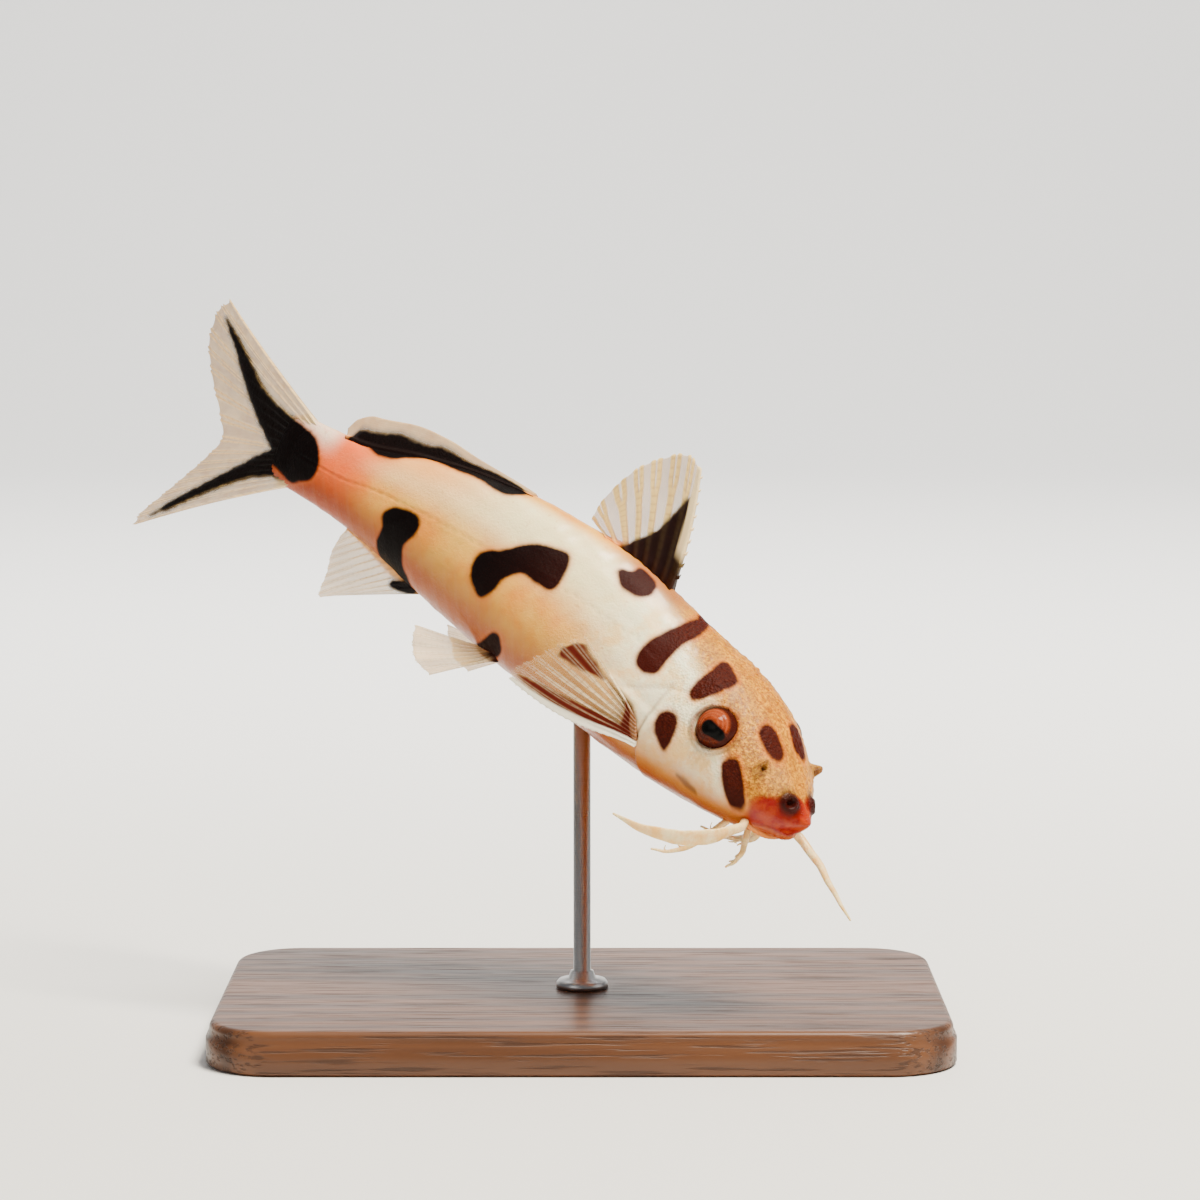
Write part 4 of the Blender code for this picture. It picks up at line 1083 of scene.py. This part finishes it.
def row_on(first, length, height):
    """The foot of a fin on the body's middle line, from where it starts: body places at u."""
    def roots(u):
        back = first + length * u
        return np.stack([back, 0 * u, height(back)], -1)
    return roots


def fan_tips(points, side=1):
    """The outer edge of a fin through points of (u, back, out, up), on one side: body places at u."""
    return lambda u: between(points, u) * (1, side, 1)


def dorsal_fin():
    """The tall fin behind the nape, with its toothed spine and a dark wedge on its front half."""
    tips = fan_tips(((0, 0.438, 0, 0.297), (0.16, 0.462, 0, 0.304), (0.45, 0.504, 0, 0.267),
                     (0.65, 0.523, 0, 0.230), (0.85, 0.538, 0, 0.170), (1, 0.537, 0, 0.143)))
    wedge = np.array(((0.360, 0.100), (0.376, 0.145), (0.392, 0.185), (0.405, 0.215), (0.422, 0.252),
                      (0.432, 0.252), (0.440, 0.215), (0.449, 0.182), (0.470, 0.150), (0.486, 0.100)))

    def marks(u, v, spot):
        return outline_distance(spot[..., ::2], wedge * MM)

    finish = fin_finish("dorsal_fin_finish", (200, 150, 80), (252, 216, 136), clear=0.40,
                        base=(232, 120, 44), dark=(26, 4, 2), rays_dark=0.02, soft=0.4,
                        spine=(252, 224, 172), dense=0.92, spine_from=0.20)
    fin_piece("dorsal_fin", row_on(0.379, 0.126, top_at), tips, 8, finish, "fin", marks, spine=0.42,
              spine_width=0.8, branch=0.72, broad=1.7, bow=(-0.006, 0, 0), teeth=((-1, 0, 0.4), 9),
              barb=0.006)


def adipose_fin():
    """The long soft fin without rays, dark along its upper part."""
    rise = ((0, 0.003), (0.3, 0.017), (0.52, 0.036), (0.72, 0.045), (0.88, 0.043), (0.97, 0.028),
            (1, 0.010))

    def tips(u):
        back = 0.624 + 0.308 * u
        return np.stack([back, 0 * u, top_at(back) + curve(rise, u)], -1)

    def marks(u, v, spot):
        ends = ease(0.10, 0.0, u) + ease(0.93, 1.0, u)
        return (v - 0.60 + 0.06 * np.sin(u * 23)) * 2.4 + 2.0 * ends

    finish = fin_finish("adipose_fin_finish", (222, 170, 100), FIN_RAY, clear=0.62,
                        base=(214, 122, 62), dark=(14, 3, 2), soft=0.5)
    fin_piece("adipose_fin", row_on(0.624, 0.302, top_at), tips, 22, finish, "skin", marks,
              thick=(0.75, 0.25), ridge=0.0, sink=0.5, flare=0.9, ripple=0.05, rows=30, raylike=False)


def caudal_fin():
    """The forked tail fin, with a dark bar along each lobe."""
    tips = fan_tips(((0, 1.262, 0, 0.168), (0.12, 1.284, 0, 0.142), (0.2, 1.277, 0, 0.105),
                     (0.32, 1.238, 0, 0.056), (0.44, 1.172, 0, -0.003), (0.5, 1.150, 0, -0.030),
                     (0.6, 1.168, 0, -0.070), (0.72, 1.198, 0, -0.110), (0.85, 1.236, 0, -0.158),
                     (0.94, 1.262, 0, -0.194), (1, 1.264, 0, -0.210)))
    upper = ((0.985, 0.005), (1.030, 0.016), (1.075, 0.033), (1.115, 0.054), (1.190, 0.106),
             (1.250, 0.139))
    lower = ((0.985, -0.008), (1.030, -0.025), (1.070, -0.051), (1.120, -0.092), (1.200, -0.157),
             (1.232, -0.183))

    def roots(u):
        return np.stack([0.998 - 0.014 * (2 * u - 1) ** 2, 0 * u, 0.055 - 0.100 * u], -1)

    def marks(u, v, spot):
        flat = spot[..., ::2]
        return np.minimum(
            streak_distance(flat, np.array(upper) * MM, (3.1, 2.7, 1.9, 1.45, 0.85, 0.32)),
            streak_distance(flat, np.array(lower) * MM, (2.6, 2.0, 1.3, 0.95, 0.62, 0.22)))

    finish = fin_finish("caudal_fin_finish", (190, 142, 62), (244, 202, 128), clear=0.55,
                        base=(252, 222, 172), dark=(8, 2, 1), soft=0.5)
    fin_piece("caudal_fin", roots, tips, 17, finish, "fin", marks, thick=(0.8, 0.12), ridge=0.22,
              sink=0.06, branch=0.38, flare=0.35, ripple=0.12)


def anal_fin():
    """The fin under the tail stem, with a dark patch at its front root."""
    tips = fan_tips(((0, 0.800, 0, -0.141), (0.15, 0.838, 0, -0.161), (0.3, 0.858, 0, -0.172),
                     (0.55, 0.866, 0, -0.140), (0.8, 0.871, 0, -0.103), (1, 0.868, 0, -0.077)))
    patch = np.array(((0.722, -0.088), (0.752, -0.098)))

    def marks(u, v, spot):
        return streak_distance(spot[..., ::2], patch * MM, (1.0, 0.7))

    finish = fin_finish("anal_fin_finish", (232, 192, 118), FIN_RAY, clear=0.46, dark=(8, 2, 1),
                        soft=0.4)
    fin_piece("anal_fin", row_on(0.706, 0.155, belly_at), tips, 12, finish, "fin", marks, sink=0.15)


def pelvic_fin(name, side, finish):
    """One of the pair of small fins under the belly, dark at the front of its root."""
    tips = fan_tips(((0, 0.604, 0.072, -0.166), (0.35, 0.634, 0.074, -0.160),
                     (0.7, 0.657, 0.068, -0.140), (1, 0.668, 0.060, -0.119)), side)

    def roots(u):
        back, left = 0.535 + 0.032 * u, 0.048 - 0.018 * u
        return np.stack([back, side * left, belly_at(back, left)], -1)

    def marks(u, v, spot):
        return np.hypot((u - 0.1) * 2.0, v * 6.0) - 0.7

    fin_piece(name, roots, tips, 7, finish, "fin", marks, sink=0.2, rows=40)


def pectoral_fin(name, side, finish):
    """One of the pair behind the head: a saw-edged spine and a fan with a stripe, a tuft and a fold."""
    tips = fan_tips(((0, 0.470, 0.139, -0.082), (0.15, 0.474, 0.141, -0.070),
                     (0.45, 0.459, 0.138, -0.040), (0.75, 0.434, 0.137, 0.002),
                     (1, 0.405, 0.133, 0.036)), side)
    streaks = ((((1.6, 0.6), (1.7, 5.0), (1.5, 10.0), (1.2, 15.0)), (1.3, 1.3, 0.9, 0.3)),
               (((6.4, 14.2), (6.6, 11.0), (7.0, 7.6)), (1.2, 0.9, 0.25)),
               (((1.4, 0.4), (4.2, 0.5), (7.0, 0.8), (7.9, 2.2)), (1.0, 0.8, 0.7, 0.3)))

    def roots(u):
        back, up = 0.263 + 0.018 * u, -0.050 + 0.036 * u
        return np.stack([back, side * (flank_at(back, up) + 0.004), up], -1)

    def marks(u, v, spot):
        fan = np.stack([u * 8.0, v * 16.0], -1)
        return np.min([streak_distance(fan, np.array(stops), radii) for stops, radii in streaks], 0)

    fin_piece(name, roots, tips, 9, finish, "fin", marks, thick=(0.5, 0.14), ridge=0.25, spine=0.70,
              spine_width=1.5, ripple=0.1, bow=(0, 0, -0.013), teeth=((0, side * 0.4, -1), 16),
              barb=0.0036)


def build_fins():
    """All eight fins, each over the place of its solid."""
    dorsal_fin()
    adipose_fin()
    caudal_fin()
    anal_fin()
    finish = fin_finish("pelvic_fin_finish", (246, 206, 140), (252, 226, 178), clear=0.52,
                        base=(246, 176, 108), dark=(44, 10, 5), soft=0.5)
    for name, side in (("pelvic_fin_right", -1), ("pelvic_fin_left", 1)):
        pelvic_fin(name, side, finish)
    finish = fin_finish("pectoral_fin_finish", (244, 196, 130), (255, 232, 190), clear=0.14,
                        base=(120, 34, 10), dark=(96, 20, 4), rays_dark=0.3, soft=0.35, dense=0.8,
                        spine=(255, 246, 222), fading=0.6)
    for name, side in (("pectoral_fin_right", -1), ("pectoral_fin_left", 1)):
        pectoral_fin(name, side, finish)


def build_barbels(finish):
    """The six feelers, over the places of their solids."""
    blade = ((0, 0.50), (0.5, 0.36), (1, 0.12))
    blade_tall = ((0, 0.50), (0.20, 0.62), (0.45, 0.98), (0.65, 0.85), (0.88, 0.40), (1, 0.12))
    thick = ((0, 0.60), (0.5, 0.45), (1, 0.12))
    fine = ((0, 0.45), (0.6, 0.30), (1, 0.12))
    barbel_piece("maxillary_barbel_right", (
        (5.2, -3.2, -3.6), (3.4, -6.0, -4.2), (3.4, -8.5, -5.2), (4.2, -10.8, -6.4),
        (5.9, -13.1, -7.5), (8.8, -15.1, -8.4), (12.3, -16.7, -8.8)), blade, finish, blade_tall)
    barbel_piece("maxillary_barbel_left", (
        (5.2, 3.2, -3.6), (2.6, 5.0, -4.4), (-1.4, 4.5, -5.0), (-6.0, 2.8, -5.7),
        (-11.0, 0.6, -6.0)), thick, finish)
    barbel_piece("outer_mandibular_barbel_right", (
        (7.0, -2.6, -4.6), (6.7, -4.3, -5.8), (6.9, -5.5, -7.5), (7.5, -6.8, -9.6),
        (8.6, -8.1, -11.0), (10.0, -9.4, -11.7)), fine, finish,
        branches=((0.42, 1.3, -0.2, -0.5), (0.60, 1.2, -0.2, -0.3), (0.78, 0.9, -0.1, 0.2)))
    barbel_piece("outer_mandibular_barbel_left", (
        (7.0, 2.6, -4.6), (7.6, 3.3, -7.0), (9.2, 4.2, -8.9), (11.8, 5.0, -10.3),
        (14.6, 5.4, -11.2)), fine, finish,
        branches=((0.45, 1.0, 1.4, -1.4), (0.62, 1.6, 1.2, -0.9), (0.8, 1.6, 0.8, 0.4)))
    barbel_piece("inner_mandibular_barbel_right", (
        (5.6, -1.4, -4.4), (4.4, -2.2, -6.0), (3.5, -2.8, -7.4), (3.4, -3.2, -8.4),
        (3.7, -3.9, -9.5)), fine, finish, branches=((0.5, 0.6, 0.5, -0.9), (0.72, 0.8, 0.2, -0.6)))
    barbel_piece("inner_mandibular_barbel_left", (
        (5.6, 1.4, -4.4), (5.9, 1.8, -6.4), (7.2, 2.2, -7.9), (9.2, 2.4, -8.8)), fine, finish,
        branches=((0.5, 0.6, -0.9, -1.3), (0.72, 1.2, -0.5, -1.0)))


def area_light(name, spot, size, power, colour=(1, 1, 1), target=(0, 0, 0.05)):
    """A soft square lamp at a world place, turned to a target."""
    lamp = bpy.data.lights.new(name, "AREA")
    lamp.size = size
    lamp.energy = power
    lamp.color = colour
    holder = bpy.data.objects.new(name, lamp)
    bpy.context.scene.collection.objects.link(holder)
    holder.location = spot
    x, y, z = np.array(spot, float) - target
    holder.rotation_euler = (math.atan2(math.hypot(x, y), z), 0, math.atan2(y, x) + math.pi / 2)


def studio_floor():
    """A pale floor: flat in front, then a quarter round of radius 0.6 m that rises into a wall."""
    bend = np.linspace(0, math.pi / 2, 24)
    arc = np.stack([0.9 + 0.6 * np.sin(bend), 0.6 - 0.6 * np.cos(bend)], -1)
    profile = np.concatenate([[(-1.6, 0.0)], arc, [(1.5, 2.2)]])
    across = np.broadcast_to([-2.4, 0.0, 2.4], (len(profile), 3))
    points = np.stack([across, profile[:, :1] + 0 * across, profile[:, 1:] + 0 * across], -1)
    grid = np.arange(across.size).reshape(across.shape)
    faces = np.stack([grid[:-1, :-1], grid[:-1, 1:], grid[1:, 1:], grid[1:, :-1]], -1).reshape(-1, 4)
    mesh = bpy.data.meshes.new("studio_floor")
    mesh.from_pydata(points.reshape(-1, 3), [], faces.tolist())
    mesh.shade_smooth()
    finish = Finish("floor_finish", Roughness=0.75)
    mesh.materials.append(finish.dress(Base_Color=finish.mixed(
        finish.noise(3.0, 2.0), tint(236, 235, 232), tint(240, 239, 237))))
    floor = bpy.data.objects.new("studio_floor", mesh)
    bpy.context.scene.collection.objects.link(floor)


class CatfishLook(PropertyGroup):
    """Colours and gloss of the fish."""

    cream: FloatVectorProperty(name="Cream", description="Light colour of the flank", subtype="COLOR",
                               default=tint(255, 208, 92)[:3])
    peach: FloatVectorProperty(name="Peach", description="Warm colour of the flank", subtype="COLOR",
                               default=tint(242, 152, 46)[:3])
    blotch: FloatVectorProperty(name="Blotches", description="Colour of the blotches in front",
                                subtype="COLOR", default=tint(52, 9, 2)[:3])
    tail_black: FloatVectorProperty(name="Tail Blotches", description="Colour of the blotches at the tail",
                                    subtype="COLOR", default=tint(6, 1, 1)[:3])
    barbel: FloatVectorProperty(name="Feelers", description="Colour of the feelers", subtype="COLOR",
                                default=tint(244, 186, 96)[:3])
    edge_softness: FloatProperty(name="Blotch Edge", description="Half width of a blotch's edge, in mm",
                                 default=0.30, min=0.02, max=1.0)
    roughness: FloatProperty(name="Skin Roughness", description="Least roughness of the skin",
                             default=0.34, min=0.0, max=1.0, subtype="FACTOR")


class StandSizes(PropertyGroup):
    """Sizes of the stand's finer forms."""

    corner: FloatProperty(name="Corner Radius", description="Radius of the base's corners",
                          default=STAND_CORNER, min=0.001, subtype="DISTANCE", unit="LENGTH")
    edge: FloatProperty(name="Edge Rounding", description="Radius of the base's upper edge",
                        default=0.0008, min=0.0001, subtype="DISTANCE", unit="LENGTH")
    rod: FloatProperty(name="Rod Radius", description="Radius of the steel rod",
                       default=ROD_RADIUS, min=0.0003, subtype="DISTANCE", unit="LENGTH")


class StudioLook(PropertyGroup):
    """Light and camera."""

    key: FloatProperty(name="Key Light", description="Power of the main lamp", default=17.0, min=0,
                       unit="POWER")
    fill: FloatProperty(name="Fill Light", description="Power of the side lamps", default=0.6, min=0,
                        unit="POWER")
    backdrop: FloatProperty(name="Backdrop Light", description="Power of the lamp on the backdrop",
                            default=20.0, min=0, unit="POWER")
    lens: FloatProperty(name="Lens", description="Focal length in mm", default=118.69, min=10)


class CATFISH_OT_skin(Operator):
    """Build the fish's skin over its body"""

    bl_idname = "catfish.skin"
    bl_label = "Skin"

    def execute(self, context):
        skin_piece(skin_finish(context.scene.catfish_look))
        return {"FINISHED"}


class CATFISH_OT_eyes(Operator):
    """Build both eyes in their sockets"""

    bl_idname = "catfish.eyes"
    bl_label = "Eyes"

    def execute(self, context):
        finish = eye_finish()
        for name, side in (("eye_right", -1), ("eye_left", 1)):
            eye_piece(name, side, finish)
        return {"FINISHED"}


class CATFISH_OT_fins(Operator):
    """Build the eight fins"""

    bl_idname = "catfish.fins"
    bl_label = "Fins"

    def execute(self, context):
        build_fins()
        return {"FINISHED"}


class CATFISH_OT_barbels(Operator):
    """Build the six feelers"""

    bl_idname = "catfish.barbels"
    bl_label = "Feelers"

    def execute(self, context):
        build_barbels(barbel_finish(context.scene.catfish_look))
        return {"FINISHED"}


class CATFISH_OT_stand(Operator):
    """Build the base and the rod of the display stand"""

    bl_idname = "catfish.stand"
    bl_label = "Stand"

    def execute(self, context):
        sizes = context.scene.catfish_stand
        low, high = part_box("stand_base")
        tall = high[2] - low[2]
        profile = [(0.0004, 0.0), (0.0, 0.0004), (0.0, tall - 0.0019), (0.0004, tall - 0.0016)]
        profile += [(0.0004 + sizes.edge * (1 - math.cos(turn)), tall - sizes.edge * (1 - math.sin(turn)))
                    for turn in np.linspace(0, math.pi / 2, 9)]
        new_piece("stand_base_board", *plate((low, high), sizes.corner, profile), {}, wood_finish(),
                  "stand_base", ("stand_base",))
        low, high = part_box("stand_rod")
        foot, top, radius = low[2] - 0.0003, high[2], sizes.rod
        collar = ((0.0002, 0.0), (0.0030, 0.0), (0.0030, 0.0006), (0.0027, 0.0010), (0.0016, 0.0012),
                  (0.0013, 0.0020), (radius, 0.0021))
        profile = [(wide, foot + up) for wide, up in collar]
        profile += [(radius, top - 0.0001), (radius * 0.6, top)]
        new_piece("stand_rod_steel", *lathe(profile, 64), {}, steel_finish(), "stand_rod",
                  ("stand_rod",))
        return {"FINISHED"}


class CATFISH_OT_stage(Operator):
    """Set out the pale floor, the soft lamps and the camera"""

    bl_idname = "catfish.stage"
    bl_label = "Stage"

    def execute(self, context):
        look = context.scene.catfish_studio
        studio_floor()
        area_light("key_lamp", (0.24, -0.14, 0.70), 0.26, look.key, (1.0, 0.93, 0.79))
        area_light("left_fill_lamp", (-0.45, -0.55, 0.35), 0.40, look.fill, (1.0, 0.97, 0.93))
        area_light("right_fill_lamp", (0.60, -0.10, 0.25), 0.45, look.fill * 0.8, (1.0, 0.96, 0.90))
        area_light("back_lamp", (-0.15, 0.55, 0.55), 0.35, look.fill)
        area_light("backdrop_lamp", (0.0, 0.45, 0.75), 1.0, look.backdrop, target=(0.0, 1.3, 0.2))
        world = bpy.data.worlds.new("studio_air")
        world.use_nodes = True
        air = world.node_tree.nodes["Background"].inputs
        air["Color"].default_value = (0.95, 0.96, 1.0, 1)
        air["Strength"].default_value = 0.18
        context.scene.world = world

        pitch = math.radians(CAMERA_PITCH)
        camera = bpy.data.objects.new("camera", bpy.data.cameras.new("camera"))
        context.scene.collection.objects.link(camera)
        camera.location = CAMERA_AIM + CAMERA_DISTANCE * np.array([0, -math.cos(pitch), math.sin(pitch)])
        camera.rotation_euler = (math.pi / 2 - pitch, 0, 0)
        camera.data.lens = look.lens
        camera.data.sensor_width = 36.0
        camera.data.clip_start = 0.01
        context.scene.camera = camera
        return {"FINISHED"}


class CATFISH_PT_panel(Panel):
    """Lists the catfish's pieces and settings"""

    bl_idname = "CATFISH_PT_panel"
    bl_label = "Catfish"
    bl_space_type = "VIEW_3D"
    bl_region_type = "UI"
    bl_category = "Catfish"

    def draw(self, context):
        for title in GROUPS:
            group = getattr(context.scene, title)
            for name in group.__annotations__:
                self.layout.prop(group, name)
        for operator in BUILDERS:
            self.layout.operator(operator.bl_idname)


BUILDERS = (CATFISH_OT_skin, CATFISH_OT_eyes, CATFISH_OT_fins, CATFISH_OT_barbels, CATFISH_OT_stand,
            CATFISH_OT_stage)
GROUPS = {"catfish_look": CatfishLook, "catfish_stand": StandSizes, "catfish_studio": StudioLook}
# Camera: its aim, distance and downward pitch, from the photograph's framing
CAMERA_AIM = place((0, 0, 0)) - np.array([0.023178, -0.014202, -0.022786])
CAMERA_DISTANCE = 0.45
CAMERA_PITCH = 6.0


def register():
    for kind in (*GROUPS.values(), *BUILDERS, CATFISH_PT_panel):
        bpy.utils.register_class(kind)
    for name, group in GROUPS.items():
        setattr(bpy.types.Scene, name, PointerProperty(type=group))


def unregister():
    for name in GROUPS:
        delattr(bpy.types.Scene, name)
    for kind in (CATFISH_PT_panel, *BUILDERS, *reversed(GROUPS.values())):
        bpy.utils.unregister_class(kind)


def main():
    """Builds every piece and the stage through their operators."""
    register()
    blotch_group()
    mottle_group()
    for operator in BUILDERS:
        section_name, name = operator.bl_idname.split(".")
        getattr(getattr(bpy.ops, section_name), name)()


if __name__ == "__main__":
    main()
